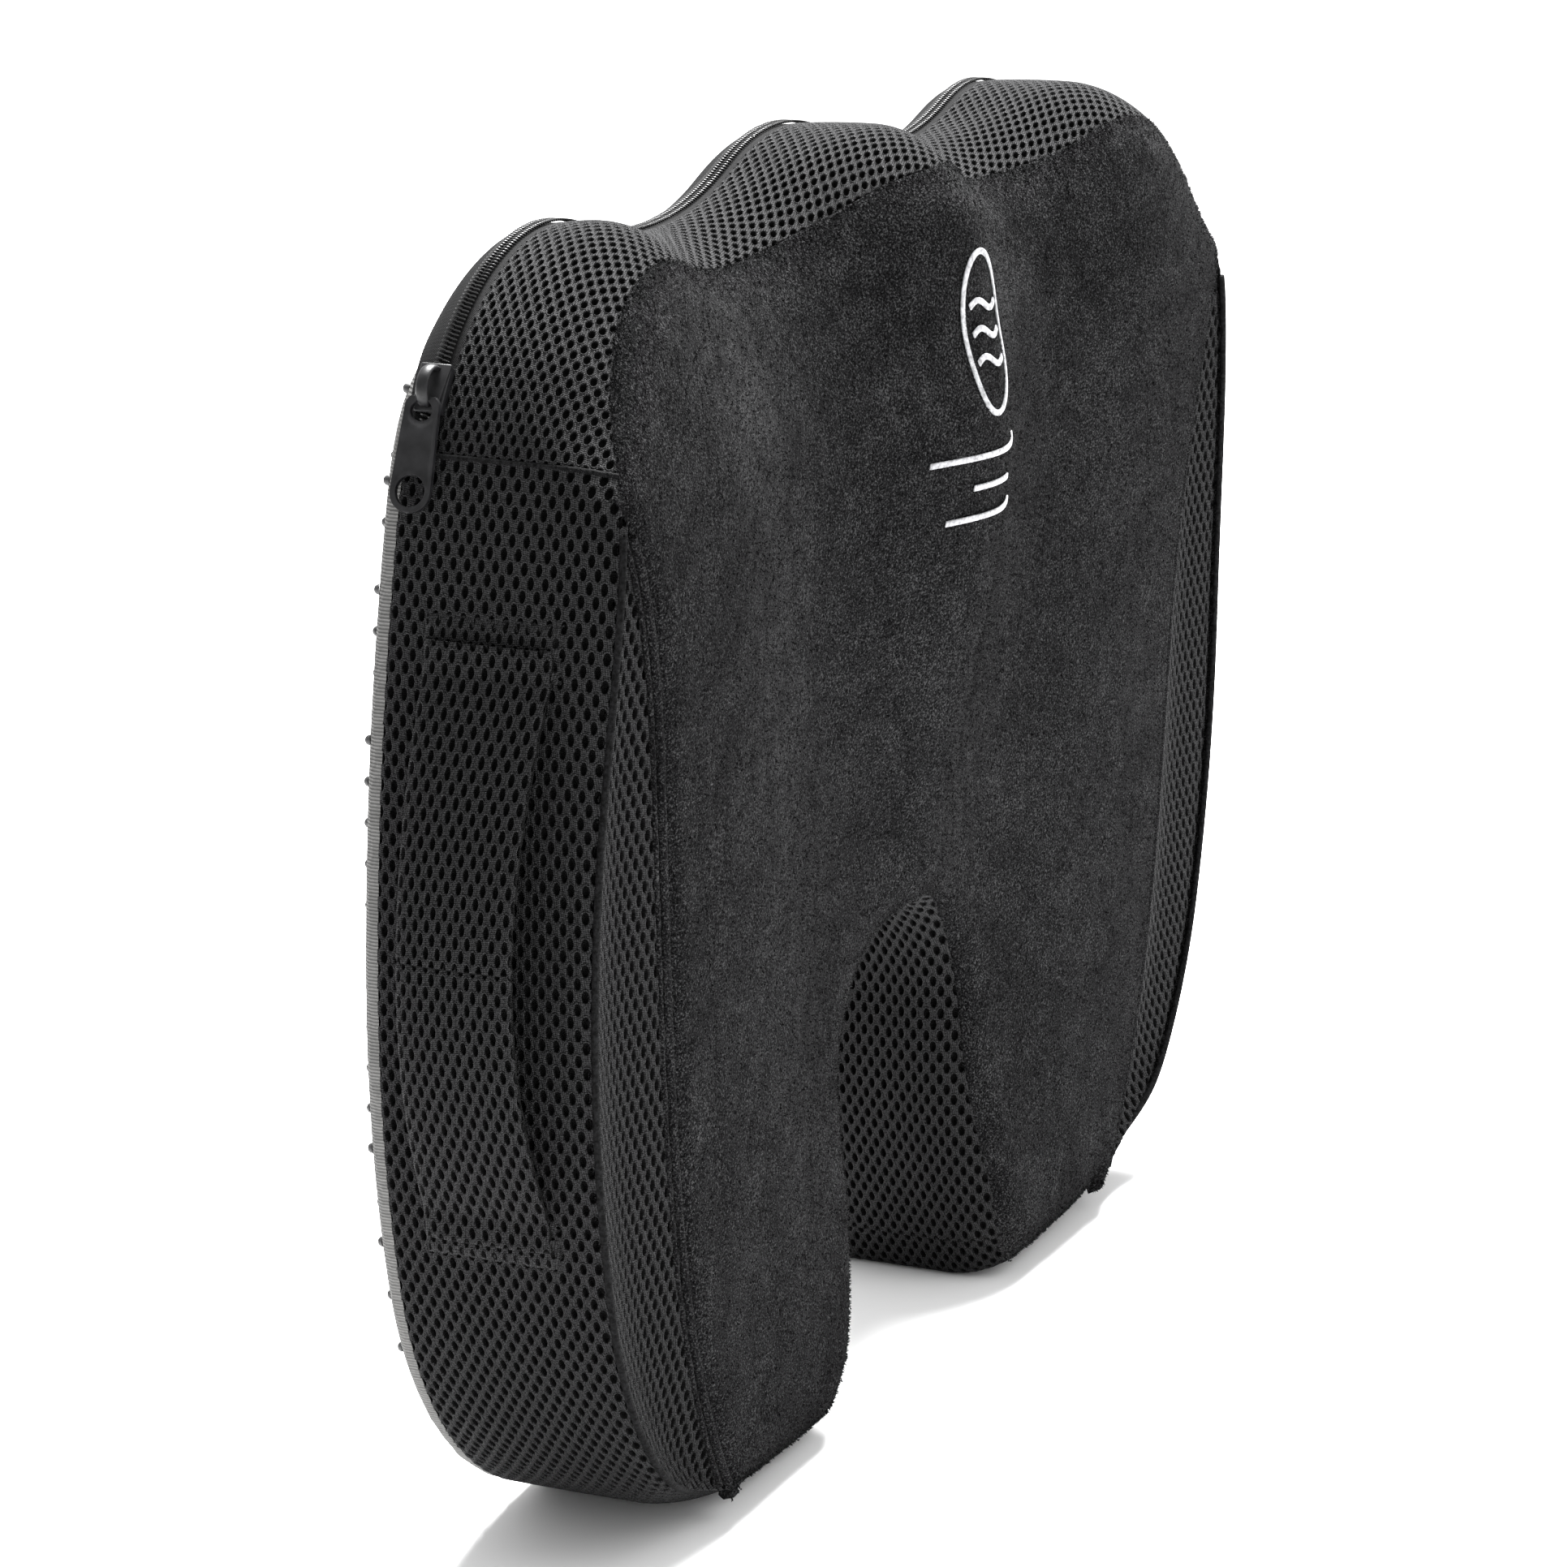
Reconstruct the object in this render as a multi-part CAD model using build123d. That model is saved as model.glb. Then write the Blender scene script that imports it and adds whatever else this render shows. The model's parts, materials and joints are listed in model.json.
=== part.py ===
from build123d import *
import math
import os

# U-shaped orthopaedic seat cushion, standing on its rear edge.
# +Z runs from the rear edge (the floor) to the front edge, the seat side faces -Y,
# the grip side faces +Y, and the carry handle is on the -X side. Millimetres.

# ---- overall sizes
overall_width = 468.0
overall_depth = 352.0
overall_thickness = 80.0

# ---- outline seen from the seat side
widest_z = 165.0
side_front_radius = 560.0
side_rear_radius = 302.0
rear_corner_radius = 112.0
front_corner_radius = 72.0
corner_lobe_drop = 6.0
dip_drop = 16.0
dip_share = 0.57
cutout_depth = 132.0
cutout_apex_radius = 43.0
cutout_flare_radius = 180.0
cutout_mouth_radius = 9.0

# ---- seat relief, as heights above the grip side
edge_height = 66.0
front_edge_height = 48.0
waterfall_length = 75.0
swell_height = 2.5
swell_z = 260.0
swell_length = 50.0
valley_depth = 11.5
valley_width = 50.0
valley_rear_x = 45.0
valley_front_x = 82.0
valley_start_length = 115.0
valley_spread_length = 120.0
ridge_width = 34.0
ridge_rise_length = 153.0
brow_height = 8.0
brow_start = 62.0
brow_length = 45.0
nose_drop = 6.0
nose_length = 17.0

# ---- cover
cover_thickness = 3.0
velour_thickness = 2.5
base_thickness = 1.6
base_wrap = 5.2
band_seam_share = 0.847
cutout_seam_z = 14.0
gusset_insets = [98.0, 51.0, 35.0, 15.0]
gusset_shares = [0.0, 0.34, 0.68, 0.835]
welt_width = 3.4
welt_height = 1.3

# ---- zip
zip_height = 10.0
zip_end_gap = 4.0
tape_inset = 0.5
tape_thickness = 0.8
upper_tape_width = 7.0
coil_half_width = 2.1
coil_height = 1.8
stop_length = 2.6
stop_gap = 0.3

# ---- slider and pull tab
slider_rest_gap = 3.264
slider_travel = 68.0
room_margin = 8.0
slider_length = 12.9
slider_half_width = 4.2
slider_plate = 1.3
slider_clearance = 0.4
flange_thickness = 1.1
bridge_length = 11.9
bridge_half_width = 1.7
bridge_leg = 1.5
bridge_opening = 3.4
bridge_thickness = 1.2
pin_radius = 0.75
pin_setback = 3.4
pull_length = 29.0
pull_thickness = 1.6
pull_top_width = 9.0
pull_end_width = 11.0
pull_eye_length = 6.5
pull_hole_radius = 3.3
pull_eye_clearance = 0.5
pull_clearance = 0.4

# ---- carry handle
handle_top_z = 260.0
handle_bottom_z = 98.0
handle_from_base = 34.0
handle_width = 36.0
tab_length = 12.0
tab_thickness = 2.4
tab_overhang = 1.5
strap_thickness = 2.6
strap_gap = 8.0
joint_gap = 0.4

# ---- embroidered motif
motif_x = -3.0
motif_z = 300.0
motif_half_width = 11.0
motif_half_height = 23.0
thread_width = 1.8
thread_height = 0.9
motif_line_pitch = 8.5
motif_line_lengths = [54.0, 20.0, 40.0]

# ---- worked out from the sizes above
half_width = overall_width / 2
grip_y = overall_thickness / 2
wrap_y = grip_y - base_wrap
zip_y = grip_y - zip_height
handle_y = grip_y - handle_from_base
band_seam_z = overall_depth * band_seam_share
zip_end_z = band_seam_z + zip_end_gap
valley_tail = valley_depth * math.exp(-(valley_front_x / valley_width) ** 2)
ridge_height = overall_thickness - edge_height - swell_height + valley_tail
corner_z = overall_depth - corner_lobe_drop - front_corner_radius
front_centre_x = half_width - side_front_radius
rear_centre_x = half_width - side_rear_radius
corner_x = front_centre_x + math.sqrt(
    (side_front_radius - front_corner_radius) ** 2 - (corner_z - widest_z) ** 2)
rear_x = rear_centre_x + math.sqrt(
    (side_rear_radius - rear_corner_radius) ** 2 - (widest_z - rear_corner_radius) ** 2)
dip_x = corner_x * dip_share
dip_rise = overall_depth - dip_drop - corner_z
dip_radius = ((corner_x - dip_x) ** 2 + dip_rise ** 2 - front_corner_radius ** 2) / (
    2 * (front_corner_radius - dip_rise))
dip_z = overall_depth - dip_drop + dip_radius
nose_rise = dip_z - overall_depth
nose_radius = (dip_x ** 2 + nose_rise ** 2 - dip_radius ** 2) / (2 * (dip_radius - nose_rise))
nose_z = overall_depth - nose_radius
cutout_centre_z = cutout_depth - cutout_apex_radius
cutout_flare_x = cutout_apex_radius + cutout_flare_radius
reach = overall_width
far_y = -overall_thickness
tape_depth = tape_inset + tape_thickness
coil_radius = front_corner_radius - tape_inset + coil_height
stop_end_z = zip_end_z + stop_length + 2 * stop_gap
stop_angle = math.degrees(math.asin((stop_end_z - corner_z) / coil_radius))
half_span = math.degrees(slider_length / 2 / front_corner_radius)
slider_angle = stop_angle + math.degrees(slider_rest_gap / coil_radius) + half_span
room_angles = (slider_angle - half_span - room_margin,
               slider_angle + slider_travel + half_span + room_margin)


def direction(x, z):
    """Angle in degrees of a direction in the outline's plane."""
    return math.degrees(math.atan2(z, x))


def upright(face):
    """Turns a face drawn with x and z as its two axes into the standing plane y = 0."""
    return Rot(90, 0, 0) * face


def slab(face, y_from, y_to):
    """A drawn face made solid from one y to another."""
    return extrude(Pos(0, y_from, 0) * upright(face), amount=y_to - y_from, dir=(0, 1, 0))


def block(x, y, z):
    """A box between pairs of limits."""
    size = (x[1] - x[0], y[1] - y[0], z[1] - z[0])
    return Pos((x[0] + x[1]) / 2, (y[0] + y[1]) / 2, (z[0] + z[1]) / 2) * Box(*size)


def arc(x, z, radius, start, end):
    """Arc about a centre, from one angle to another, either way round."""
    return CenterArc((x, z), radius, start, end - start)


def half_outline(inset):
    """The right half's outer edges, from the foot to the middle of the front edge."""
    rear_turn = direction(rear_x - rear_centre_x, rear_corner_radius - widest_z)
    front_turn = direction(corner_x - front_centre_x, corner_z - widest_z)
    lobe_turn = direction(dip_x - corner_x, dip_z - corner_z)
    nose_turn = direction(dip_x, dip_z - nose_z)
    return [
        Line((0, inset), (rear_x, inset)),
        arc(rear_x, rear_corner_radius, rear_corner_radius - inset, -90, rear_turn),
        arc(rear_centre_x, widest_z, side_rear_radius - inset, rear_turn, 0),
        arc(front_centre_x, widest_z, side_front_radius - inset, 0, front_turn),
        arc(corner_x, corner_z, front_corner_radius - inset, front_turn, lobe_turn),
        arc(dip_x, dip_z, dip_radius + inset, lobe_turn - 180, nose_turn - 180),
        arc(0, nose_z, nose_radius - inset, nose_turn, 90),
    ]


def outer_face(inset):
    """The whole outline without the cutout, moved in by inset."""
    edges = half_outline(inset)
    middle = Line((0, inset), (0, overall_depth - inset))
    half = make_face(Curve() + edges + middle)
    return half + mirror(half, about=Plane.YZ)


def cutout_face(inset):
    """The tailbone cutout, made larger by inset, open past the foot."""
    low = -2 * cover_thickness
    drop = cutout_centre_z - low
    radius = cutout_flare_radius - inset
    swing = math.degrees(math.asin(drop / radius))
    low_x = cutout_flare_x - radius * math.cos(math.radians(swing))
    edges = [
        arc(cutout_flare_x, cutout_centre_z, radius, 180 + swing, 180),
        arc(0, cutout_centre_z, cutout_apex_radius + inset, 0, 180),
        arc(-cutout_flare_x, cutout_centre_z, radius, 0, -swing),
        Line((-low_x, low), (low_x, low)),
    ]
    return make_face(Curve() + edges)


def plan_face(inset):
    """The cushion's outline with its cutout and the rounded corners of its mouth."""
    face = outer_face(inset) - cutout_face(inset)
    corners = [v for v in face.vertices()
               if abs(v.Y - inset) < 0.01 and abs(v.X) < rear_x - 1]
    return fillet(corners, cutout_mouth_radius - inset)


def smooth(t):
    """Eases from 0 to 1."""
    t = min(max(t, 0.0), 1.0)
    return t * t * (3 - 2 * t)


def swell(distance, width):
    """A soft bump of height 1, the given distance from its middle."""
    return math.exp(-(distance / width) ** 2)


def relief(x, z):
    """Height of the seat side above the grip side."""
    fall = smooth((z - overall_depth + waterfall_length) / waterfall_length)
    side = edge_height + swell_height * swell(z - swell_z, swell_length)
    side -= (edge_height - front_edge_height) * fall
    spread = smooth((z - cutout_depth) / valley_spread_length)
    valley_x = valley_rear_x + (valley_front_x - valley_rear_x) * spread
    valley = valley_depth * smooth(z / valley_start_length)
    ridge = ridge_height * smooth((z - cutout_depth) / ridge_rise_length)
    ridge += brow_height * smooth((z - overall_depth + brow_start) / brow_length)
    ridge -= nose_drop * smooth((z - overall_depth + nose_length) / nose_length)
    return side - valley * swell(abs(x) - valley_x, valley_width) + ridge * swell(x, ridge_width)


def relief_body(sink):
    """Everything behind the seat surface, with that surface moved in by sink."""
    columns = 33
    rows = 25
    margin = 12.0
    points = []
    for column in range(columns):
        x = (half_width + margin) * (2 * column / (columns - 1) - 1)
        line = []
        for row in range(rows):
            z = -margin + (overall_depth + 2 * margin) * row / (rows - 1)
            line.append(Vector(x, grip_y - relief(x, z) + sink, z))
        points.append(line)
    surface = Face.make_surface_from_array_of_points(points, tol=0.2)
    return extrude(surface, amount=2 * overall_thickness, dir=(0, 1, 0))


def gusset_line():
    """Edge of the velour panel on the right, from the rear edge to the side wall."""
    points = [(half_width - inset, overall_depth * share)
              for inset, share in zip(gusset_insets, gusset_shares)]
    return Spline(*points)


def gusset_face():
    """The region outside the velour edge on the right."""
    line = gusset_line()
    start = line @ 0
    end = line @ 1
    border = Polyline((end.X, end.Y), (reach, end.Y), (reach, -reach), (start.X, -reach),
                      (start.X, start.Y))
    return make_face(Curve() + line + border)


def polar(radius, angle):
    """A point about the centre of the handle side's front corner, angle up from -X."""
    turn = math.radians(angle)
    return (-corner_x - radius * math.cos(turn), corner_z + radius * math.sin(turn))


def sector(inner, outer, start, end, y_from, y_to):
    """A piece of a ring about the centre of the handle side's front corner."""
    edges = [
        arc(-corner_x, corner_z, outer, 180 - start, 180 - end),
        Line(polar(outer, end), polar(inner, end)),
        arc(-corner_x, corner_z, inner, 180 - end, 180 - start),
        Line(polar(inner, start), polar(outer, start)),
    ]
    return slab(make_face(Curve() + edges), y_from, y_to)


def wall_x(z):
    """Distance of the side wall's outer face from the centre plane."""
    if z > widest_z:
        return front_centre_x + math.sqrt(side_front_radius ** 2 - (z - widest_z) ** 2)
    return rear_centre_x + math.sqrt(side_rear_radius ** 2 - (z - widest_z) ** 2)


# ---- cover panels and foam
plan = plan_face(0)
inner_plan = plan_face(cover_thickness)
seat = relief_body(0)
lining = relief_body(velour_thickness)
ring = slab(plan - inner_plan, far_y, grip_y)
skin = (slab(plan, far_y, grip_y) & seat) - lining
walls = (ring & lining) & block((-reach, reach), (far_y, wrap_y), (-reach, reach))
foam_core = slab(inner_plan, far_y, grip_y - base_thickness) & lining
base_plate = slab(plan, grip_y - base_thickness, grip_y)
base_rim = ring & block((-reach, reach), (wrap_y, grip_y - base_thickness), (-reach, reach))
base_panel = base_plate + base_rim

gusset_zone = slab(gusset_face(), far_y, grip_y)
gusset_right = skin & gusset_zone
gusset_left = mirror(gusset_right, about=Plane.YZ)
top_panel = skin - gusset_zone - mirror(gusset_zone, about=Plane.YZ)

bead_layer = relief_body(-welt_height) - seat
bead = slab(trace(gusset_line(), welt_width), far_y, grip_y) & slab(outer_face(0.5), far_y, grip_y)
welt_right = bead_layer & bead
welt_left = mirror(welt_right, about=Plane.YZ)

cutout_zone = slab(cutout_face(cover_thickness + 1), far_y, grip_y)
cutout_zone = cutout_zone & block((-reach, reach), (far_y, grip_y), (cutout_seam_z, reach))
cutout_band = walls & cutout_zone
rear_walls = walls - cutout_zone
rear_walls = rear_walls & block((-reach, reach), (far_y, grip_y), (-reach, band_seam_z))
side_band_left = rear_walls & block((-reach, 0), (far_y, grip_y), (-reach, reach))
side_band_right = rear_walls & block((0, reach), (far_y, grip_y), (-reach, reach))

# ---- zip: a slot in the front wall, two tapes, two coil halves and two end stops
tape_top_y = zip_y - upper_tape_width
zip_slot = block((-reach, reach), (tape_top_y, grip_y), (zip_end_z, reach))
front_band = (walls - zip_slot) & block((-reach, reach), (far_y, grip_y), (band_seam_z, reach))
tape_ring = outer_face(tape_inset) - outer_face(tape_depth)
coil_ring = outer_face(tape_inset - coil_height) - outer_face(tape_inset)
front_zone = block((-reach, reach), (far_y, grip_y), (zip_end_z, reach))
coil_zone = block((-reach, reach), (far_y, grip_y),
                  (stop_end_z, reach))
stop_zone = block((-reach, reach), (far_y, grip_y),
                  (zip_end_z + stop_gap, zip_end_z + stop_gap + stop_length))
zip_tape_upper = slab(tape_ring, tape_top_y, zip_y) & front_zone
zip_tape_lower = slab(tape_ring, zip_y, wrap_y) & front_zone
zip_coil_upper = slab(coil_ring, zip_y - coil_half_width, zip_y) & coil_zone
zip_coil_lower = slab(coil_ring, zip_y, zip_y + coil_half_width) & coil_zone
stops = slab(coil_ring, zip_y - coil_half_width, zip_y + coil_half_width) & stop_zone
zip_stop_start = stops & block((-reach, 0), (far_y, grip_y), (-reach, reach))
zip_stop_end = stops & block((0, reach), (far_y, grip_y), (-reach, reach))

# ---- room behind the tape for the slider's inner plate, all along its travel
groove_room = slider_plate + 3 * slider_clearance
room_outer = front_corner_radius - tape_depth
room_half_width = slider_half_width + slider_clearance
room = sector(room_outer - groove_room, front_corner_radius, *room_angles,
              zip_y - room_half_width, zip_y + room_half_width)
foam_core = foam_core - room

# ---- slider, riding on the coil
lid_inner = coil_radius + slider_clearance
lid_outer = lid_inner + slider_plate
flange_inner = front_corner_radius - tape_inset + slider_clearance
span = (slider_angle - half_span, slider_angle + half_span)
slider_lid = sector(lid_inner, lid_outer, *span,
                    zip_y - slider_half_width, zip_y + slider_half_width)
flange_a = sector(flange_inner, lid_inner, *span,
                  zip_y - slider_half_width, zip_y - slider_half_width + flange_thickness)
flange_b = sector(flange_inner, lid_inner, *span,
                  zip_y + slider_half_width - flange_thickness, zip_y + slider_half_width)
half_bridge = math.degrees(bridge_length / 2 / lid_outer)
half_window = math.degrees((bridge_length / 2 - bridge_leg) / lid_outer)
window_outer = lid_outer + bridge_opening
bridge = sector(lid_outer, window_outer + bridge_thickness,
                slider_angle - half_bridge, slider_angle + half_bridge,
                zip_y - bridge_half_width, zip_y + bridge_half_width)
window = sector(lid_outer, window_outer,
                slider_angle - half_window, slider_angle + half_window,
                zip_y - bridge_half_width, zip_y + bridge_half_width)
zip_slider = slider_lid + flange_a + flange_b + (bridge - window)
plate_outer = front_corner_radius - tape_depth - slider_clearance
zip_slider_plate = sector(plate_outer - slider_plate, plate_outer, *span,
                          zip_y - slider_half_width, zip_y + slider_half_width)

# ---- pull tab, hanging from the bridge and lying along the wall
pin_orbit = (lid_outer + window_outer) / 2
pin_angle = slider_angle - math.degrees(pin_setback / pin_orbit)
lie_radius = coil_radius + pull_clearance + pull_thickness / 2
lid_end = slider_length / 2 - pin_setback + pull_clearance
lid_room = bridge_opening / 2 - pull_thickness / 2 - pull_clearance / 2
tilt = min(math.acos(lie_radius / pin_orbit), math.asin(lid_room / lid_end))
lie_angle = pin_angle - math.degrees(tilt)
pin_x, pin_z = polar(pin_orbit, pin_angle)


def pull_shape():
    """The tab drawn flat: its pin end at the origin, its length along +X."""
    arm = pull_top_width / 2
    ring_centre = pull_length - pull_end_width / 2
    blade = make_face(Polyline(
        (0, -arm), (0, arm), (ring_centre, pull_end_width / 2),
        (ring_centre, -pull_end_width / 2), (0, -arm)))
    blade = blade + Pos(ring_centre, 0) * Circle(pull_end_width / 2)
    eye_width = 2 * (bridge_half_width + pull_eye_clearance)
    eye = Pos(pull_eye_length / 2, 0) * Rectangle(pull_eye_length, eye_width)
    hole = Pos(ring_centre, 0) * Circle(pull_hole_radius)
    blade = extrude(blade - eye - hole, amount=pull_thickness / 2, both=True)
    pin = Rot(90, 0, 0) * Cylinder(pin_radius, pull_top_width)
    return blade + pin


# The flat tab's length is along +X and its width along Y: it is turned about Y until it
# points down the wall.
zip_pull_tab = Pos(pin_x, zip_y, pin_z) * Rot(0, 90 + lie_angle, 0) * pull_shape()

# ---- carry handle: a strap bowed off the wall, sewn down at both ends
strap_top_z = handle_top_z - tab_length - joint_gap
strap_bottom_z = handle_bottom_z + tab_length + joint_gap
strap_y = (handle_y - handle_width / 2, handle_y + handle_width / 2)


def strap_line(offset):
    """The strap's side seen along Y, offset outwards."""
    middle_z = (strap_top_z + strap_bottom_z) / 2
    return ThreePointArc(
        (-wall_x(strap_bottom_z) - joint_gap - offset, strap_bottom_z),
        (-wall_x(middle_z) - strap_gap - offset, middle_z),
        (-wall_x(strap_top_z) - joint_gap - offset, strap_top_z))


def strap_face():
    """The strap's section between its inner and its outer line."""
    inner = strap_line(0)
    outer = strap_line(strap_thickness)
    ends = [Line(inner @ 0, outer @ 0), Line(inner @ 1, outer @ 1)]
    return make_face(Curve() + inner + outer + ends)


handle_strap = slab(strap_face(), *strap_y)
tab_ring = outer_face(-tab_thickness) - outer_face(0)
tab_y = (strap_y[0] - tab_overhang, strap_y[1] + tab_overhang)
handle_tab_top = slab(tab_ring, *tab_y) & block(
    (-reach, 0), tab_y, (handle_top_z - tab_length, handle_top_z))
handle_tab_bottom = slab(tab_ring, *tab_y) & block(
    (-reach, 0), tab_y, (handle_bottom_z, handle_bottom_z + tab_length))

# ---- embroidery: an oval round three waves, and three plain lines below it
thread_layer = relief_body(-thread_height) - seat


def wave(z, length):
    """A stitched line that rises and falls once."""
    quarter = length / 4
    line = Spline((-2 * quarter, z), (-quarter, z + quarter / 3),
                  (quarter, z - quarter / 3), (2 * quarter, z))
    return trace(line, thread_width)


oval = Ellipse(motif_half_width, motif_half_height)
oval = oval - Ellipse(motif_half_width - thread_width, motif_half_height - thread_width)
motif = Pos(0, motif_z) * oval
for step in (-1, 0, 1):
    motif = motif + wave(motif_z + step * motif_half_height / 3, 1.2 * motif_half_width)
for count, length in enumerate(motif_line_lengths):
    line_z = motif_z - motif_half_height - (count + 1.2) * motif_line_pitch
    motif = motif + Pos(0, line_z) * Rectangle(length, thread_width)
emblem = thread_layer & slab(Pos(motif_x, 0) * motif, far_y, grip_y)

# ---- the origin is under the middle of the whole object, handle included
handle_reach = wall_x((strap_top_z + strap_bottom_z) / 2) + strap_gap + strap_thickness
shift_x = (handle_reach - half_width) / 2
place = Pos(shift_x, 0, 0)

nodes = {
    "foam_core": foam_core,
    "top_panel": top_panel,
    "welt_left": welt_left,
    "welt_right": welt_right,
    "gusset_left": gusset_left,
    "gusset_right": gusset_right,
    "front_band": front_band,
    "side_band_left": side_band_left,
    "side_band_right": side_band_right,
    "cutout_band": cutout_band,
    "base_panel": base_panel,
    "zip_tape_upper": zip_tape_upper,
    "zip_tape_lower": zip_tape_lower,
    "zip_coil_upper": zip_coil_upper,
    "zip_coil_lower": zip_coil_lower,
    "zip_stop_start": zip_stop_start,
    "zip_stop_end": zip_stop_end,
    "zip_slider": zip_slider,
    "zip_slider_plate": zip_slider_plate,
    "zip_pull_tab": zip_pull_tab,
    "handle_strap": handle_strap,
    "handle_tab_top": handle_tab_top,
    "handle_tab_bottom": handle_tab_bottom,
    "emblem": emblem,
}

os.makedirs("parts", exist_ok=True)
for name, solid in nodes.items():
    export_step(place * solid, "parts/" + name + ".step")

print("slider hinge at x, y, z:", shift_x - corner_x, zip_y, corner_z)
print("pull hinge at x, y, z:", shift_x + pin_x, zip_y, pin_z)
print("lie angle:", lie_angle, "shift:", shift_x, "dip radius:", dip_radius, "nose:", nose_radius)
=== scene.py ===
# %% [markdown]
# # A U-shaped seat cushion in a zipped velour and mesh cover
#
# The cushion's hard sizes come from its CAD model, which is loaded first and never changed. Each
# soft part is then made again as the cloth it really is, in the same place and in metres.

# %% Load the CAD frame
import json
import math

import bmesh
import bpy
import numpy as np
from mathutils import Matrix, Vector, noise
from mathutils.bvhtree import BVHTree
from mathutils.kdtree import KDTree

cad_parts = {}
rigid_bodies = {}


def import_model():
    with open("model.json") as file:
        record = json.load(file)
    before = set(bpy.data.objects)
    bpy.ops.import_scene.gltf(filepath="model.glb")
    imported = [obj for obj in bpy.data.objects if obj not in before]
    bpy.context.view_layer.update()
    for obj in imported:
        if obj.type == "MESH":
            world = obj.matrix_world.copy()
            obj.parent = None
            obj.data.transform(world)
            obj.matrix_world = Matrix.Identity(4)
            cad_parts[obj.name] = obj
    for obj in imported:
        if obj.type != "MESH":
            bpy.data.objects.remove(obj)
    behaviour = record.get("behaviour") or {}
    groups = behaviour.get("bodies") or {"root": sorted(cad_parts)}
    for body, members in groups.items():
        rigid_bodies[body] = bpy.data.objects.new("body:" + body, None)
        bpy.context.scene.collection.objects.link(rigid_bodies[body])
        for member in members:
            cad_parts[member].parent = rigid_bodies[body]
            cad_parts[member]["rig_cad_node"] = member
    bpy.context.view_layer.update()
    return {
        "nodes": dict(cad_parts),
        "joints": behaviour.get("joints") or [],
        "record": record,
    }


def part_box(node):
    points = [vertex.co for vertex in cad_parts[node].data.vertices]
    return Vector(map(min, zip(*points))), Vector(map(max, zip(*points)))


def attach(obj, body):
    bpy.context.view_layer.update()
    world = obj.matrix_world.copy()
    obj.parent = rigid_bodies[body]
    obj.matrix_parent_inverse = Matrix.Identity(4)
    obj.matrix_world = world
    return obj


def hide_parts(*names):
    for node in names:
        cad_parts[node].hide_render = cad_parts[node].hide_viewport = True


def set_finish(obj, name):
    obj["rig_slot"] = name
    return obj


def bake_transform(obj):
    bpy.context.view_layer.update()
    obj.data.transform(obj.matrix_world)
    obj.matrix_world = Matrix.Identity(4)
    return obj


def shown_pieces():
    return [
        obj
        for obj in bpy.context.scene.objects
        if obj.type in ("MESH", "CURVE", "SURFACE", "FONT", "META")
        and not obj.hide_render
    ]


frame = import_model()
MM = 0.001
WAVE = 2 * math.pi

# %% [markdown]
# ## The outline
#
# Every band of the cover follows the cushion's outline, so it is read once from the flat grip
# side: the edges that have a face on one side only. A smooth curve is laid through those corners
# and cut into even steps, so that a place on it is one number, the distance walked along it.

# %% Walk round the grip side
def merged_copy(node):
    """A CAD node's faces, with its doubled corners merged, as an editable copy."""
    copy = bmesh.new()
    copy.from_mesh(frame["nodes"][node].data)
    bmesh.ops.remove_doubles(copy, verts=copy.verts, dist=0.01 * MM)
    return copy


def grip_corners():
    """Corners of the flat grip side, in order, as x and z."""
    copy = merged_copy("base_panel")
    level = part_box("base_panel")[1].y
    flat = {f for f in copy.faces if all(abs(v.co.y - level) < 0.01 * MM for v in f.verts)}
    rim = {e for f in flat for e in f.edges if sum(g in flat for g in e.link_faces) == 1}
    first = next(iter(rim)).verts[0]
    walked, here, came = [], first, None
    while here is not first or not walked:
        walked.append((here.co.x, here.co.z))
        came = next(e for e in here.link_edges if e in rim and e is not came)
        here = came.other_vert(here)
    copy.free()
    return np.array(walked)


def length_along(points):
    """Distance walked to each of the points."""
    return np.concatenate([[0], np.cumsum(np.linalg.norm(np.diff(points, axis=0), axis=1))])


def even_steps(points, step):
    """The same line, cut into even steps."""
    walked = length_along(points)
    at = np.linspace(0, walked[-1], max(int(walked[-1] / step), 2) + 1)
    return np.stack([np.interp(at, walked, points[:, k]) for k in range(points.shape[1])], -1)


def smooth_closed(corners, step):
    """A closed curve through the corners, in even steps."""
    before, after = np.roll(corners, 1, 0), np.roll(corners, -1, 0)
    back = np.linalg.norm(corners - before, axis=1)[:, None]
    ahead = np.linalg.norm(after - corners, axis=1)[:, None]
    slope = ((corners - before) / back * ahead + (after - corners) / ahead * back) / (back + ahead)
    t = np.linspace(0, 1, 12, endpoint=False)[None, :, None]
    a, b = corners[:, None], after[:, None]
    run = ahead[:, None]
    curve = ((2 * t**3 - 3 * t**2 + 1) * a + (t**3 - 2 * t**2 + t) * run * slope[:, None]
             + (3 * t**2 - 2 * t**3) * b + (t**3 - t**2) * run * np.roll(slope, -1, 0)[:, None])
    curve = curve.reshape(-1, 2)
    return even_steps(np.vstack([curve, curve[:1]]), step)


outline = smooth_closed(grip_corners(), 1 * MM)[:-1]
middle_x = (outline[:, 0].min() + outline[:, 0].max()) / 2
cutout_seam_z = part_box("cutout_band")[0].z
band_seam_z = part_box("front_band")[0].z
area = np.sum(outline[:, 0] * np.roll(outline[:, 1], -1) - outline[:, 1] * np.roll(outline[:, 0], -1))
outline = outline[::-1] if area > 0 else outline
half_mouth = 0.3 * (outline[:, 0].max() - middle_x)
flank = np.where((np.abs(outline[:, 0] - middle_x) < half_mouth) & (outline[:, 0] < middle_x)
                 & (outline[:, 1] < 2 * cutout_seam_z))[0]
start = flank[np.argmin(np.abs(outline[flank, 1] - cutout_seam_z))]
outline = np.roll(outline, -start, 0)
outline = np.vstack([outline, outline[:1]])
walk = length_along(outline)
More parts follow.
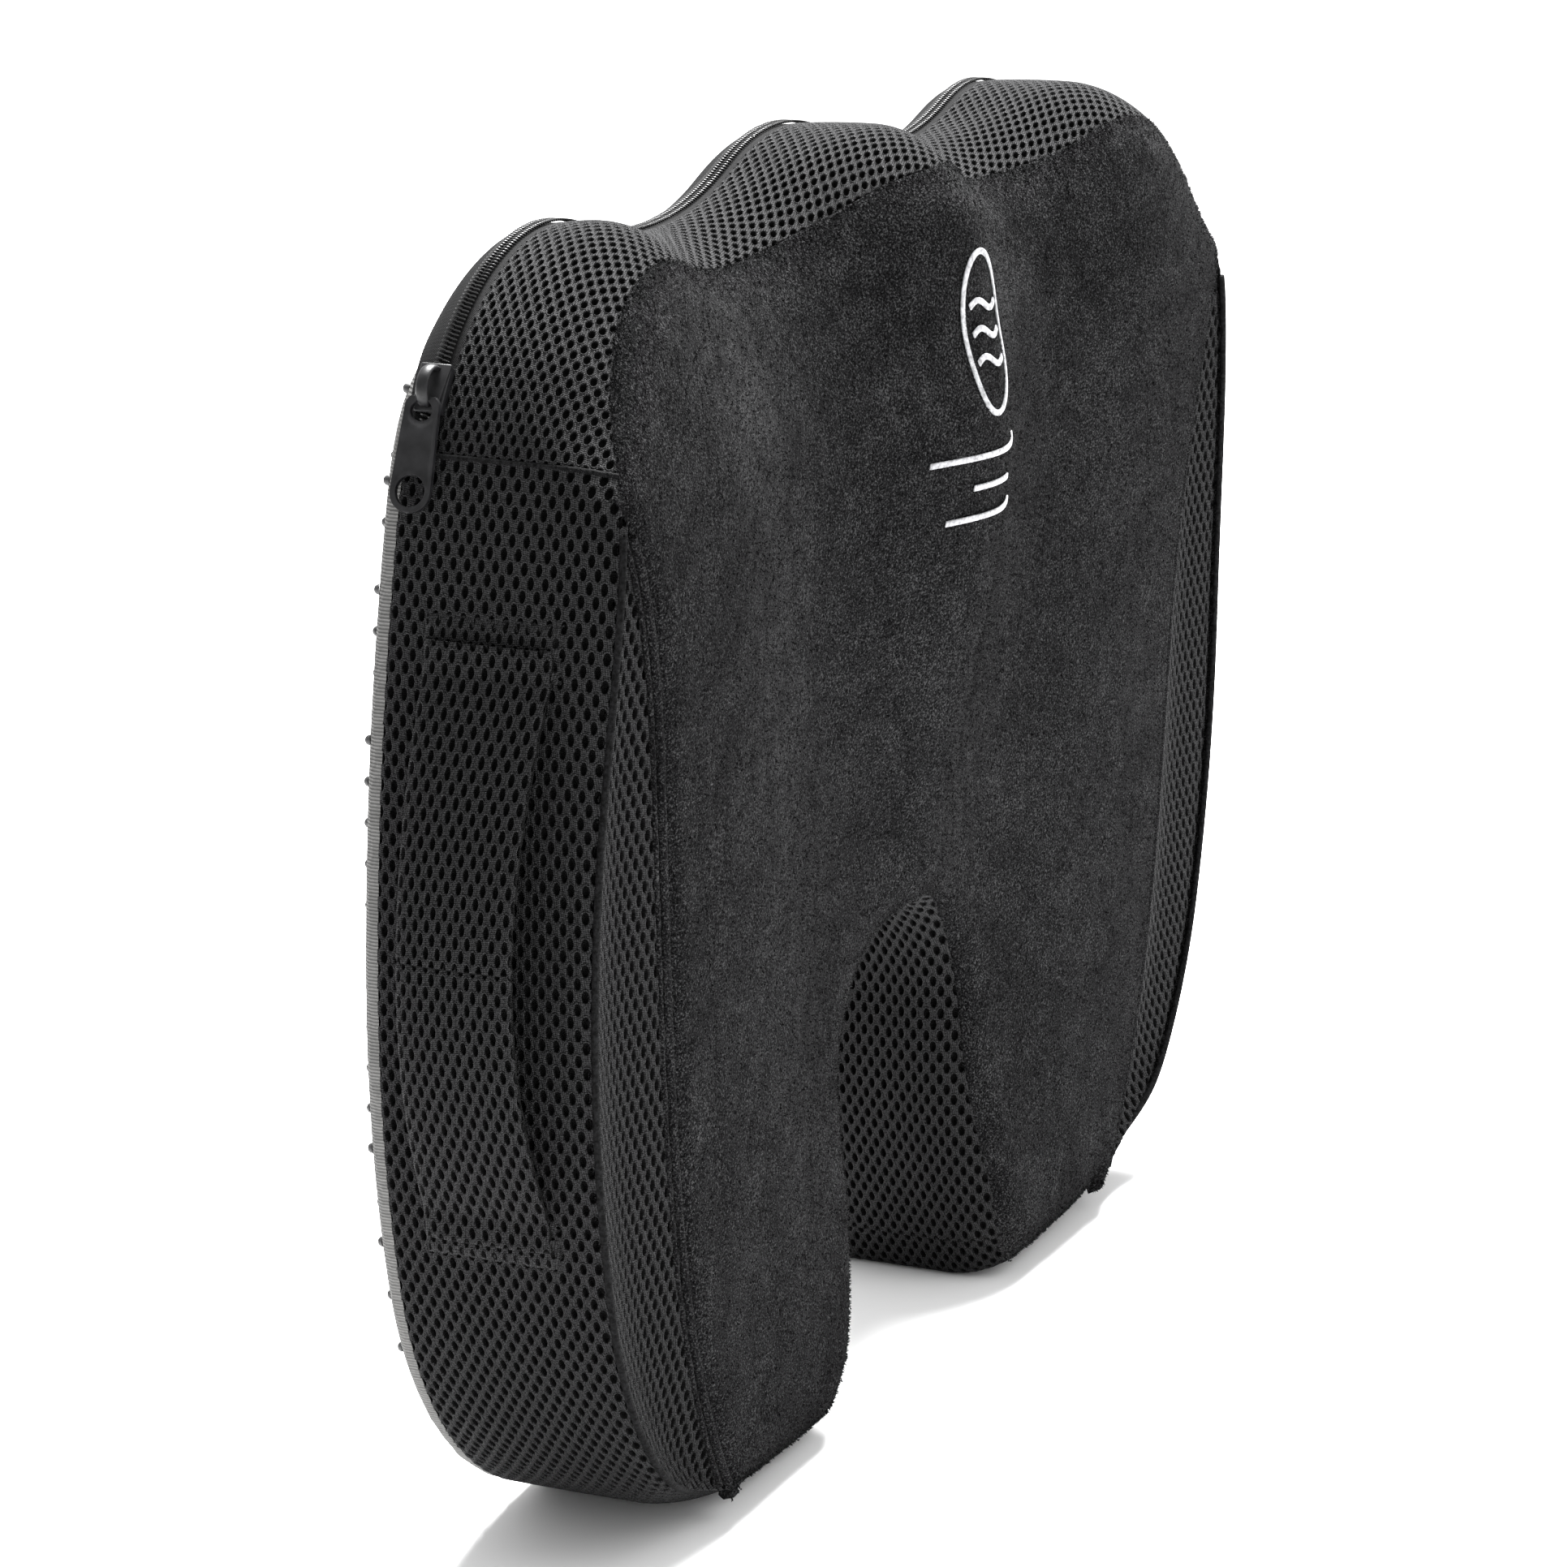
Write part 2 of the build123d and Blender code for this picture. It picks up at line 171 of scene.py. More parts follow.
print("outline:", round(walk[-1], 3), "m round")

# %% Outward directions and landmarks on the outline
def soften(values, reach):
    """Evens out values round the closed outline, over a reach in steps."""
    kernel = np.exp(-(np.arange(-3 * reach, 3 * reach + 1) / reach) ** 2)
    ring = np.concatenate([values[-1 - 3 * reach:-1], values, values[1:3 * reach + 1]])
    return np.convolve(ring, kernel / kernel.sum(), mode="valid")


heading = np.gradient(np.vstack([outline[-2], outline, outline[1]]), axis=0)[1:-1]
heading /= np.linalg.norm(heading, axis=1)[:, None]
outward = np.stack([soften(-heading[:, 1], 2), soften(heading[:, 0], 2)], -1)
outward /= np.linalg.norm(outward, axis=1)[:, None]


def crossing(z, after, before):
    """Where the outline passes a height, between two distances along it."""
    span = np.where((walk > after) & (walk < before))[0]
    return walk[span[np.argmin(np.abs(outline[span, 1] - z))]]


front_middle = walk[np.argmax(outline[:, 1] - 50 * (np.abs(outline[:, 0] - middle_x) > 5 * MM))]
side_nearest = 150 * MM
side_farthest = 450 * MM


def side_crossing(z, side):
    """Where the left side of the outline, -1, or the right side, 1, passes a height."""
    ends = sorted((front_middle + side * side_nearest, front_middle + side * side_farthest))
    return crossing(z, *ends)


seam_left, seam_right = side_crossing(band_seam_z, -1), side_crossing(band_seam_z, 1)
cutout_start = crossing(cutout_seam_z, 2 * front_middle - 60 * MM, 2 * front_middle + 60 * MM)
print("seams at", [round(v, 3) for v in (seam_left, front_middle, seam_right, cutout_start)])

# %% [markdown]
# ## The seat's relief
#
# The seat side is a soft landscape: a ridge between the thighs, two valleys and a front edge that
# falls away. Rays shot at the CAD panels measure it on an even grid. The grid is then evened out a
# little, because foam under cloth has no facets. The right front corner is stuffed fuller than the
# left one.

# %% Measure the relief with rays
def ray_tree(nodes):
    """One search tree for the faces of several CAD nodes."""
    points, faces = [], []
    for node in nodes:
        mesh = frame["nodes"][node].data
        faces += [[len(points) + i for i in face.vertices] for face in mesh.polygons]
        points += [v.co.copy() for v in mesh.vertices]
    return BVHTree.FromPolygons(points, faces)


def ray_hit(tree, x, z):
    """Where a ray from in front of the seat meets a tree's faces, or None."""
    return tree.ray_cast(Vector((x, -0.3, z)), Vector((0, 1, 0)))[0]


def evened(field, rounds):
    """Each number moved towards its neighbours' mean, several times."""
    for _ in range(rounds):
        wide = np.pad(field, 1, mode="edge")
        field = (wide[:-2, 1:-1] + wide[2:, 1:-1] + wide[1:-1, :-2] + wide[1:-1, 2:]) / 8 + field / 2
    return field


grid_step = 2 * MM
grid_x = np.arange(outline[:, 0].min() - 6 * MM, outline[:, 0].max() + 6 * MM, grid_step)
grid_z = np.arange(-6 * MM, outline[:, 1].max() + 8 * MM, grid_step)
seat_tree = ray_tree(["top_panel", "gusset_left", "gusset_right"])
relief = np.full((len(grid_x), len(grid_z)), np.nan)
for i, x in enumerate(grid_x):
    for j, z in enumerate(grid_z):
        hit = ray_hit(seat_tree, x, z)
        if hit is not None and hit.y < 0:
            relief[i, j] = hit.y
while np.isnan(relief).any():
    wide = np.pad(relief, 1, constant_values=np.nan)
    around = np.stack([wide[:-2, 1:-1], wide[2:, 1:-1], wide[1:-1, :-2], wide[1:-1, 2:]])
    known = ~np.isnan(around)
    mean = np.where(known, around, 0).sum(0) / np.maximum(known.sum(0), 1)
    relief = np.where(np.isnan(relief) & (known.sum(0) > 0), mean, relief)
relief = evened(relief, 8)
full_corner = (158 * MM, 340 * MM)
full_reach = 58 * MM
full_by = 16 * MM
full_x = np.exp(-((grid_x - full_corner[0]) / full_reach) ** 2)
full_z = np.exp(-((grid_z - full_corner[1]) / full_reach) ** 2)
relief = relief - full_by * full_x[:, None] * full_z[None, :]


def on_grid(field, x, z):
    """Reads a field of numbers between its grid points."""
    a = np.clip((np.asarray(x) - grid_x[0]) / grid_step, 0, len(grid_x) - 1.001)
    b = np.clip((np.asarray(z) - grid_z[0]) / grid_step, 0, len(grid_z) - 1.001)
    i, j = a.astype(int), b.astype(int)
    p, q = a - i, b - j
    return ((field[i, j] * (1 - p) + field[i + 1, j] * p) * (1 - q)
            + (field[i, j + 1] * (1 - p) + field[i + 1, j + 1] * p) * q)


def seat_y(x, z):
    """Where the seat surface is, in y."""
    return on_grid(relief, x, z)


print("seat surface from y", round(relief.min(), 4), "to", round(relief.max(), 4))

# %% [markdown]
# ## Rounded seams
#
# Foam has no sharp edge, so the walls lean in before they meet the seat and the seat rolls down to
# meet them. Two numbers say how much at each place on the outline: `lean`, how far the seam stands
# inside the outline, and `roll`, how far it sinks below the seat surface. Along the front the grip
# side's edge is rounded in as well, by `tuck`.

# %% Where the seat seam runs
def eased(t):
    """From 0 to 1 with soft ends."""
    t = np.clip(t, 0, 1)
    return t * t * (3 - 2 * t)


front_from = 285 * MM
tuck_from = 308 * MM
foot_top = 30 * MM
blend_over = 25 * MM
tuck_by = 6 * MM
in_cutout = (walk > cutout_start) | (walk < 1 * MM)
front_share = eased((outline[:, 1] - front_from) / blend_over)
foot_share = eased((foot_top - outline[:, 1]) / blend_over) * ~in_cutout
lean = soften(np.where(in_cutout, 4.0, 1.5 + 6.0 * front_share + 4.5 * foot_share), 8) * MM
roll = soften(np.where(in_cutout, 4.5, 2.0 + 3.0 * front_share + 4.5 * foot_share), 8) * MM
tuck = soften(eased((outline[:, 1] - tuck_from) / blend_over), 8) * tuck_by
seam = outline - outward * lean[:, None]
seam_y = seat_y(seam[:, 0], seam[:, 1]) + roll
wrap_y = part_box("base_panel")[0].y
grip_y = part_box("base_panel")[1].y
zip_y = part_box("zip_coil_upper")[1].y


def at(walked, values):
    """Values read along the outline."""
    if values.ndim == 1:
        return np.interp(walked, walk, values)
    return np.stack([np.interp(walked, walk, values[:, k]) for k in range(values.shape[1])], -1)


def wall(walked, height, foot, bulge):
    """A point on a wall: height is measured from its lower edge, at y = foot, to the seam."""
    width = foot - at(walked, seam_y)
    to_seam = np.maximum(width - height, 0)
    leaning = at(walked, lean)
    out = -leaning * np.maximum(1 - to_seam / (3 * leaning), 0) ** 2
    bulge_here = bulge * (1 - at(walked, np.clip(foot_share, 0, 1)))
    out = out + bulge_here * np.sin(math.pi * np.clip(height / width, 0, 1)) ** 0.8
    place = at(walked, outline) + at(walked, outward) * out[:, None]
    return np.stack([place[:, 0], foot - height, place[:, 1]], -1)


print("seam sinks", round(roll.min() / MM, 1), "to", round(roll.max() / MM, 1), "mm")

# %% [markdown]
# ## One cell of the mesh cloth
#
# The walls are spacer mesh: a knitted face with oval holes in staggered rows, over a dark lining.
# A texture can't give a hole its depth at the silhouette, so each hole is real. One cell is a disc
# of twelve corners. Its rim goes out to a six-sided tile, and two insets and an extrude make the
# rounded lip, the hole and its floor. Everything else is copies of this cell.

# %% Model the cell
def only(piece):
    """Leaves one object selected and active."""
    bpy.ops.object.select_all(action="DESELECT")
    piece.select_set(True)
    bpy.context.view_layer.objects.active = piece


def edit_all(piece):
    """Opens a piece in edit mode with all of it selected."""
    only(piece)
    bpy.ops.object.mode_set(mode="EDIT")
    bpy.ops.mesh.select_all(action="SELECT")


def edited():
    """Goes back to object mode."""
    bpy.ops.object.mode_set(mode="OBJECT")


def modified(piece, kind, **settings):
    """Adds a modifier, sets it and applies it."""
    only(piece)
    modifier = piece.modifiers.new(kind.lower(), kind)
    for key, value in settings.items():
        setattr(modifier, key, value)
    bpy.ops.object.modifier_apply(modifier=modifier.name)


cell_across = 3.8 * MM
cell_along = 6.7 * MM
hole_across = 0.96 * MM
hole_along = 1.66 * MM
hole_depth = 1.3 * MM
front_cell = 0.84
bpy.ops.object.select_all(action="DESELECT")


def ring_to(piece, across, along, height, shape="oval"):
    """Moves the selected corners onto an oval or onto the six-sided tile, at a height."""
    copy = bmesh.from_edit_mesh(piece.data)
    tips = {0: (0.5, 0), 1: (0.5, 0.16886), 2: (0.25, 0.25), 3: (0, 0.33114)}
    for v in copy.verts:
        if not v.select:
            continue
        angle = math.atan2(v.co.y, v.co.x)
        if shape == "oval":
            v.co = (across * math.cos(angle), along * math.sin(angle), height)
            continue
        turn = round(math.degrees(angle) / 30)
        tip = tips[min(abs(turn), 6 - abs(turn))]
        side = 1 if abs(turn) <= 3 else -1
        v.co = (side * tip[0] * across, math.copysign(tip[1], turn or 1) * along, height)
    bmesh.update_edit_mesh(piece.data)


def mesh_cell():
    """Two cells, half a row apart, which repeat both ways."""
    bpy.ops.mesh.primitive_circle_add(vertices=12, radius=cell_across / 2, fill_type="NGON")
    cell = bpy.context.active_object
    edit_all(cell)
    bpy.ops.mesh.select_mode(type="VERT")
    bpy.ops.mesh.select_all(action="SELECT")
    ring_to(cell, cell_across, cell_along, 0, "tile")
    bpy.ops.mesh.inset(thickness=0.3 * MM, depth=0)
    ring_to(cell, hole_across + 0.38 * MM, hole_along + 0.46 * MM, 0.36 * MM)
    bpy.ops.mesh.inset(thickness=0.2 * MM, depth=0)
    ring_to(cell, hole_across, hole_along, 0.05 * MM)
    bpy.ops.mesh.extrude_region_move()
    ring_to(cell, 0.9 * hole_across, 0.9 * hole_along, -hole_depth)
    bpy.ops.mesh.select_all(action="SELECT")
    shift = (cell_across / 2, cell_along / 2, 0)
    bpy.ops.mesh.duplicate_move(TRANSFORM_OT_translate={"value": shift})
    edited()
    return cell


print("mesh cell:", len(mesh_cell().data.vertices), "corners in two cells")
bpy.data.objects.remove(bpy.context.active_object)

# %% Lay the cells out flat, then wrap them
def copies(piece, count, offset):
    """Repeats a piece in a row with an Array modifier and applies it."""
    modified(piece, "ARRAY", count=count, use_relative_offset=False, use_constant_offset=True,
             constant_offset_displace=offset, use_merge_vertices=True, merge_threshold=0.02 * MM)


def corner_array(piece):
    """A piece's corners as rows of x, y and z."""
    flat = np.zeros(len(piece.data.vertices) * 3, np.float32)
    piece.data.vertices.foreach_get("co", flat)
    return flat.reshape(-1, 3).astype(float)


def set_corners(piece, places):
    """Moves every corner of a piece."""
    piece.data.vertices.foreach_set("co", np.asarray(places, np.float32).ravel())
    piece.data.update()


def pull_to(piece, y):
    """Moves the corners that are left selected to a level."""
    places = corner_array(piece)
    pulled = np.zeros(len(places), bool)
    piece.data.vertices.foreach_get("select", pulled)
    places[pulled, 1] = y
    set_corners(piece, places)


def keep_flat_places(piece, flat):
    """Stores where each corner lies on the flat cloth, as a UV map in metres."""
    layer = piece.data.uv_layers.new(name="cloth")
    corner = np.zeros(len(piece.data.loops), np.int32)
    piece.data.loops.foreach_get("vertex_index", corner)
    layer.data.foreach_set("uv", flat[corner].astype(np.float32).ravel())


def drop_slivers(piece, reach):
    """Merges corners that fell together and removes faces without an area."""
    copy = bmesh.new()
    copy.from_mesh(piece.data)
    bmesh.ops.remove_doubles(copy, verts=copy.verts, dist=reach)
    bmesh.ops.dissolve_degenerate(copy, edges=copy.edges, dist=reach)
    loose = [v for v in copy.verts if not v.link_faces]
    bmesh.ops.delete(copy, geom=loose, context="VERTS")
    copy.to_mesh(piece.data)
    copy.free()


def surface_and_normal(surface, along, across):
    """Points of a surface and the directions that stand on it."""
    h = 0.5 * MM
    place = surface(along, across)
    run = surface(along + h, across) - surface(along - h, across)
    rise = surface(along, across + h) - surface(along, across - h)
    normal = np.cross(run, rise)
    normal /= np.maximum(np.linalg.norm(normal, axis=1), 1e-12)[:, None]
    return place, normal


def mesh_cloth(name, along_from, along_to, across_limits, surface, side=1, relief=1.0, size=1.0):
    """A panel of mesh cloth on a surface, cut along its edges.

    across_limits gives the lowest and highest place across the cloth for places along it, and size
    is the size of a cell beside the side walls' own.
    """
    probe = np.linspace(along_from, along_to, 200)
    low, high = across_limits(probe)
    piece = mesh_cell()
    piece.name = name
    set_corners(piece, corner_array(piece) * size)
    wide, long = cell_across * size, cell_along * size
    copies(piece, int((high.max() - low.min()) / wide) + 3, (wide, 0, 0))
    copies(piece, int((along_to - along_from) / long) + 2, (0, long, 0))
    flat = corner_array(piece)
    across = flat[:, 0] + low.min() - wide / 2
    along = flat[:, 1] + along_from
    drift = 0.35 * MM * np.sin(along / (23 * MM)) * np.sin(across / (17 * MM) + 1)
    along, across = along + drift, across + drift
    stay = np.clip(along, along_from, along_to)
    low, high = across_limits(stay)
    inside = np.clip(across, low, high)
    cut = (np.abs(stay - along) > 1e-9) | (np.abs(inside - across) > 1e-9)
    place, normal = surface_and_normal(surface, stay, inside)
    lift = np.where(cut, 0, flat[:, 2]) * relief
    set_corners(piece, place + normal * (side * lift)[:, None])
    # Each corner's depth down its hole is stored, and the mesh finish paints shade from it.
    depth = piece.data.attributes.new("depth", "FLOAT", "POINT")
    depth.data.foreach_set("value", np.clip(-lift / (hole_depth * size), 0, 1).astype(np.float32))
    keep_flat_places(piece, np.stack([inside, stay], -1))
    if side < 0:
        piece.data.flip_normals()
    drop_slivers(piece, 0.03 * MM)
    piece.data.shade_smooth()
    print(name, "has", len(piece.data.polygons), "faces")
    return piece


def painted_shade(piece, where):
    """Paints shade on corners by raising their stored depth, which the mesh finish turns dark."""
    depth = piece.data.attributes["depth"]
    values = np.zeros(len(depth.data), np.float32)
    depth.data.foreach_get("value", values)
    depth.data.foreach_set("value", np.maximum(values, where.astype(np.float32)))


def belongs(piece, body, slot, *nodes):
    """Says which body a piece rides on, its finish and the CAD nodes that it stands for."""
    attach(piece, body)
    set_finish(piece, slot)
    if nodes:
        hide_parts(*nodes)


# %% [markdown]
# ## The mesh walls
#
# Each wall is one long strip of the cloth, as it is cut before sewing. Its length follows the
# outline and its height runs from the grip side up to the seat seam. The walls puff out slightly
# between their seams. The front band is cut from a finer cloth.

# %% Side bands, front band and the cutout's lining
side_foot = wrap_y
front_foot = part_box("zip_coil_upper")[0].y - 1.6 * MM


def wall_limits(foot):
    """Lower and upper edge of a wall along the outline."""
    return lambda walked: (np.zeros_like(walked), foot - at(walked, seam_y))


def wall_surface(foot, bulge):
    """The wall as a surface of places along and above its lower edge."""
    return lambda walked, height: wall(walked, height, foot, bulge)


def wall_cloth(name, start, end, foot, bulge, *nodes, size=1.0):
    """A wall of mesh cloth from one place on the outline to another."""
    piece = mesh_cloth(name, start, end, wall_limits(foot), wall_surface(foot, bulge), side=-1,
                       size=size)
    belongs(piece, "root", "mesh", *nodes)
    return piece


wall_cloth("side_mesh_left", 0, seam_left, side_foot, 1.4 * MM, "side_band_left")
wall_cloth("side_mesh_right", seam_right, cutout_start, side_foot, 1.4 * MM, "side_band_right")
wall_cloth("front_mesh", seam_left, seam_right, front_foot, 1.2 * MM, "front_band", size=front_cell)
wall_cloth("cutout_mesh", cutout_start, walk[-1], side_foot, 0.6 * MM, "cutout_band")

# %% [markdown]
# ## The gussets
#
# Beside the velour, the mesh runs round onto the seat in a long leaf. Its inner edge is the edge
# of the velour, which is found on the CAD gusset by halving the gap between a ray that hits it and
# one that misses.

# %% Find the velour's edge and cut the leaves
leg_middle = 110 * MM
side_top = 320 * MM


def leaf_edge(node, side):
    """Inner edge of a gusset for heights up the cushion: rows of x and z."""
    tree = ray_tree([node])
    low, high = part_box(node)
    rows = []
    for z in np.linspace(low.z + 3 * MM, high.z - 0.4 * MM, 60):
        hits = [x for x in np.arange(low.x, high.x, 0.5 * MM)
                if ray_hit(tree, x, z) is not None]
        if not hits:
            continue
        inner = max(hits) if side < 0 else min(hits)
        miss = inner - side * 1 * MM
        for _ in range(12):
            half = (inner + miss) / 2
            found = ray_hit(tree, half, z) is not None
            inner, miss = (half, miss) if found else (inner, half)
        rows.append((inner, z))
    return np.array(rows)


def side_seam(side):
    """The seat seam on one side of the cushion, from the foot up to the front: rows of x and z."""
    here = (walk < front_middle) if side < 0 else (walk > front_middle) & (walk < cutout_start)
    rows = seam[here & (np.abs(outline[:, 0] - middle_x) > leg_middle)]
    rows = rows[np.argsort(rows[:, 1])]
    return rows[rows[:, 1] < side_top]


leaf = {side: leaf_edge(node, side) for node, side in (("gusset_left", -1), ("gusset_right", 1))}
edge_roll = 3.0 * MM
most_sag = 4 * MM


def gusset(name, node, side):
    """A leaf of mesh cloth between the velour's edge and the seam with the side wall."""
    inner, outer = leaf[side], side_seam(side)
    deep = at(np.array([seam_left]), roll)[0]

    def limits(z):
        a = np.interp(z, inner[:, 1], inner[:, 0])
        b = np.interp(z, outer[:, 1], outer[:, 0])
        b = np.maximum(b, a) if side > 0 else np.minimum(b, a)
        return np.minimum(a, b), np.maximum(a, b)

    def surface(z, x):
        a, b = limits(z)
        share = np.clip((x - a) / np.maximum(b - a, 0.1 * MM), 0, 1)
        share = share if side > 0 else 1 - share
        sink = edge_roll * (1 - share) + deep * share
        sag = np.minimum((b - a) * 0.12, most_sag) * np.sin(math.pi * share) ** 1.5
        return np.stack([x, seat_y(x, z) + sink + sag, z], -1)

    piece = mesh_cloth(name, inner[0, 1], inner[-1, 1], limits, surface, side=-1)
    belongs(piece, "root", "mesh", node)


gusset("gusset_mesh_left", "gusset_left", -1)
gusset("gusset_mesh_right", "gusset_right", 1)

# %% [markdown]
# ## A horseshoe grid
#
# The velour is a horseshoe: its outer edge runs up one side, over the front and down the other,
# its inner edge goes round the cutout, and two short edges close it at the feet. A plain grid is
# stretched between those four lines, so that its rows follow the edges and can roll over them.

# %% Stretch a grid between four lines
def spread(points, shares):
    """Places on a line at shares of its length."""
    walked = length_along(points)
    steps = np.asarray(shares) * walked[-1]
    return np.stack([np.interp(steps, walked, points[:, k]) for k in range(2)], -1)


def horseshoe(outer, inner, foot_left, foot_right, s, t):
    """Places between four lines, for shares s along and t across, as x and z."""
    pull = 0.5 + 0.5 * np.sign(2 * s - 1) * np.abs(2 * s - 1) ** 1.5
    a, b = spread(outer, s), spread(inner, pull)
    left, right = spread(foot_left, t), spread(foot_right, t)
    s, t = s[:, None], t[:, None]
    corners = ((1 - s) * (1 - t) * outer[0] + s * (1 - t) * outer[-1]
               + (1 - s) * t * inner[0] + s * t * inner[-1])
    return (1 - t) * a + t * b + (1 - s) * left + s * right - corners


def unit_grid(name, columns, rows):
    """A plain grid and the two shares of each of its corners."""
    bpy.ops.object.select_all(action="DESELECT")
    bpy.ops.mesh.primitive_grid_add(x_subdivisions=columns, y_subdivisions=rows, size=1)
    piece = bpy.context.active_object
    piece.name = name
    flat = corner_array(piece)
    return piece, flat[:, 0] + 0.5, flat[:, 1] + 0.5


def mouth_corner(side):
    """Where the outline turns from the foot into the cutout."""
    near = np.where((np.abs(outline[:, 0] - middle_x) < leg_middle) & (outline[:, 1] < foot_top)
                    & ((outline[:, 0] - middle_x) * side > 0))[0]
    return near[np.argmax(-side * outward[near, 0] - outward[near, 1])]


def stretch(line, first, last):
    """Part of the closed outline from one index to another, going forward."""
    return np.vstack([line[first:], line[1:last + 1]]) if last < first else line[first:last + 1]


corner_left, corner_right = mouth_corner(-1), mouth_corner(1)
cutout_line = stretch(seam, corner_right, corner_left)[::-1]


def nearest_index(line, point, mask):
    """Index of the nearest place on a line."""
    gaps = np.linalg.norm(line - point, axis=1) + np.where(mask, 0, 1)
    return int(np.argmin(gaps))


on_left = (outline[:, 0] < middle_x) & ~in_cutout
on_right = (outline[:, 0] > middle_x) & ~in_cutout
low_left = nearest_index(seam, leaf[-1][0], on_left)
high_left = nearest_index(seam, leaf[-1][-1], on_left)
low_right = nearest_index(seam, leaf[1][0], on_right)
high_right = nearest_index(seam, leaf[1][-1], on_right)
velour_outer = np.vstack([leaf[-1], stretch(seam, high_left, high_right), leaf[1][::-1]])
velour_outer = even_steps(velour_outer, 1 * MM)
foot_left = stretch(seam, corner_left, low_left)[::-1]
foot_right = stretch(seam, low_right, corner_right)
foot_left = np.vstack([velour_outer[:1], foot_left[1:-1], cutout_line[:1]])
foot_right = np.vstack([velour_outer[-1:], foot_right[1:-1], cutout_line[-1:]])
print("velour edge", round(length_along(velour_outer)[-1], 3), "m, cutout",
      round(length_along(cutout_line)[-1], 3), "m")

# %% [markdown]
# ## The velour seat panel
#
# The panel is pressed onto the foam's relief and rolls down at every edge. It is a closed shell
# with the thickness of the cloth. Smooth random bumps of two sizes make the surface slightly
# uneven, as the pile does.

# %% Shape the velour
def bumps(places, size, seed):
    """Smooth random numbers from -1 to 1 for places in space."""
    shift = Vector((seed * 3.7, seed * 1.3, seed * 2.1))
    return np.array([noise.noise(Vector(p) / size + shift) for p in places])


def edge_tree(lines):
    """A search tree of edge places, and how far the cloth rolls down at each."""
    rows = np.vstack([np.column_stack([points, depth]) for points, depth in lines])
    tree = KDTree(len(rows))
    for i, row in enumerate(rows):
        tree.insert(Vector((row[0], 0, row[1])), i)
    tree.balance()
    return tree, rows[:, 2]


def seam_roll(points):
    """How far the seam is sunk at the nearest place of the outline."""
    found = [roll[int(np.argmin(np.abs(seam - p).sum(1)))] for p in points]
    return np.array(found)


def depth_of(points):
    """Roll along the velour's outer edge: the seam's own, or the leaf's beside the gussets."""
    beside = points[:, 1] < leaf[-1][-1, 1]
    return np.where(beside, edge_roll, seam_roll(points))


seam_edges = [even_steps(line, 1 * MM) for line in (cutout_line, foot_left, foot_right)]
velour_edges, velour_depths = edge_tree(
    [(velour_outer, depth_of(velour_outer)), *((line, seam_roll(line)) for line in seam_edges)])


def crowded(t, share):
    """Even steps from 0 to 1, crowded towards both ends."""
    return (1 - share) * t + share * (0.5 - 0.5 * np.cos(math.pi * t))


def rolled(x, z, edges, depths, reach):
    """How far the cloth has rolled down, from the distance to the nearest edge."""
    drop = np.zeros(len(x))
    for i, (px, pz) in enumerate(zip(x, z)):
        _, index, gap = edges.find(Vector((px, 0, pz)))
        depth = depths[index]
        drop[i] = depth * max(1 - gap / (reach * depth), 0) ** 2
    return drop


velour_lowest = 2.4 * MM
velour_thickness = 2.2 * MM


def velour_places(s, t):
    """The velour's surface for shares along and across the horseshoe."""
    flat = horseshoe(velour_outer, cutout_line, foot_left, foot_right, s, t)
    x, z = flat[:, 0], flat[:, 1]
    drop = rolled(x, z, velour_edges, velour_depths, 2.6)
    place = np.stack([x, seat_y(x, z) + drop, z], -1)
    place[:, 1] -= 0.5 * MM * bumps(place, 34 * MM, 1) + 0.16 * MM * bumps(place, 7 * MM, 2)
    place[:, 2] = np.maximum(place[:, 2], velour_lowest)
    return place


velour, s, t = unit_grid("velour_panel", 520, 110)
set_corners(velour, velour_places(s, crowded(t, 0.65)))
velour.data.flip_normals()
pile_faces = [(f.center.copy(), f.normal.copy(), f.area) for f in velour.data.polygons]
modified(velour, "SOLIDIFY", thickness=velour_thickness, offset=-1)
velour.data.shade_smooth()
belongs(velour, "root", "velour", "top_panel")
print("velour panel:", len(velour.data.polygons), "faces")

# %% [markdown]
# ## The foam
#
# Under the cover is one block of moulded memory foam. It is the same horseshoe, a little smaller,
# pulled down from the seat to the grip side, so it is a closed form that fills the cover.

# %% Make the foam block
foam_gap = 6 * MM
foam_below_seat = 13 * MM
inner_line = outline - outward * (lean + foam_gap)[:, None]
flat_left = nearest_index(outline, np.array([middle_x - 112 * MM, 0]), on_left)
flat_right = nearest_index(outline, np.array([middle_x + 112 * MM, 0]), on_right)


def horseshoe_lines(line):
    """The four edges of the whole plan, taken from a closed line."""
    return (stretch(line, flat_left, flat_right), stretch(line, corner_right, corner_left)[::-1],
            stretch(line, corner_left, flat_left)[::-1], stretch(line, flat_right, corner_right))


foam, s, t = unit_grid("foam_block", 160, 30)
flat = horseshoe(*horseshoe_lines(inner_line), s, t)
top = seat_y(flat[:, 0], flat[:, 1]) + foam_below_seat
set_corners(foam, np.stack([flat[:, 0], top, flat[:, 1]], -1))
foam.data.flip_normals()
edit_all(foam)
bpy.ops.mesh.extrude_region_move()
edited()
pull_to(foam, wrap_y - 1 * MM)
edit_all(foam)
bpy.ops.mesh.normals_make_consistent(inside=False)
edited()
foam.data.shade_smooth()
belongs(foam, "root", "foam", "foam_core")
print("foam block:", len(foam.data.polygons), "faces")

# %% [markdown]
# ## The grip side
#
# The underside is a ribbed grey cloth with soft rubber dots. The cloth folds over the edge and a
# few millimetres up the walls, so the grid rolls over there, and its rim is then pulled down.

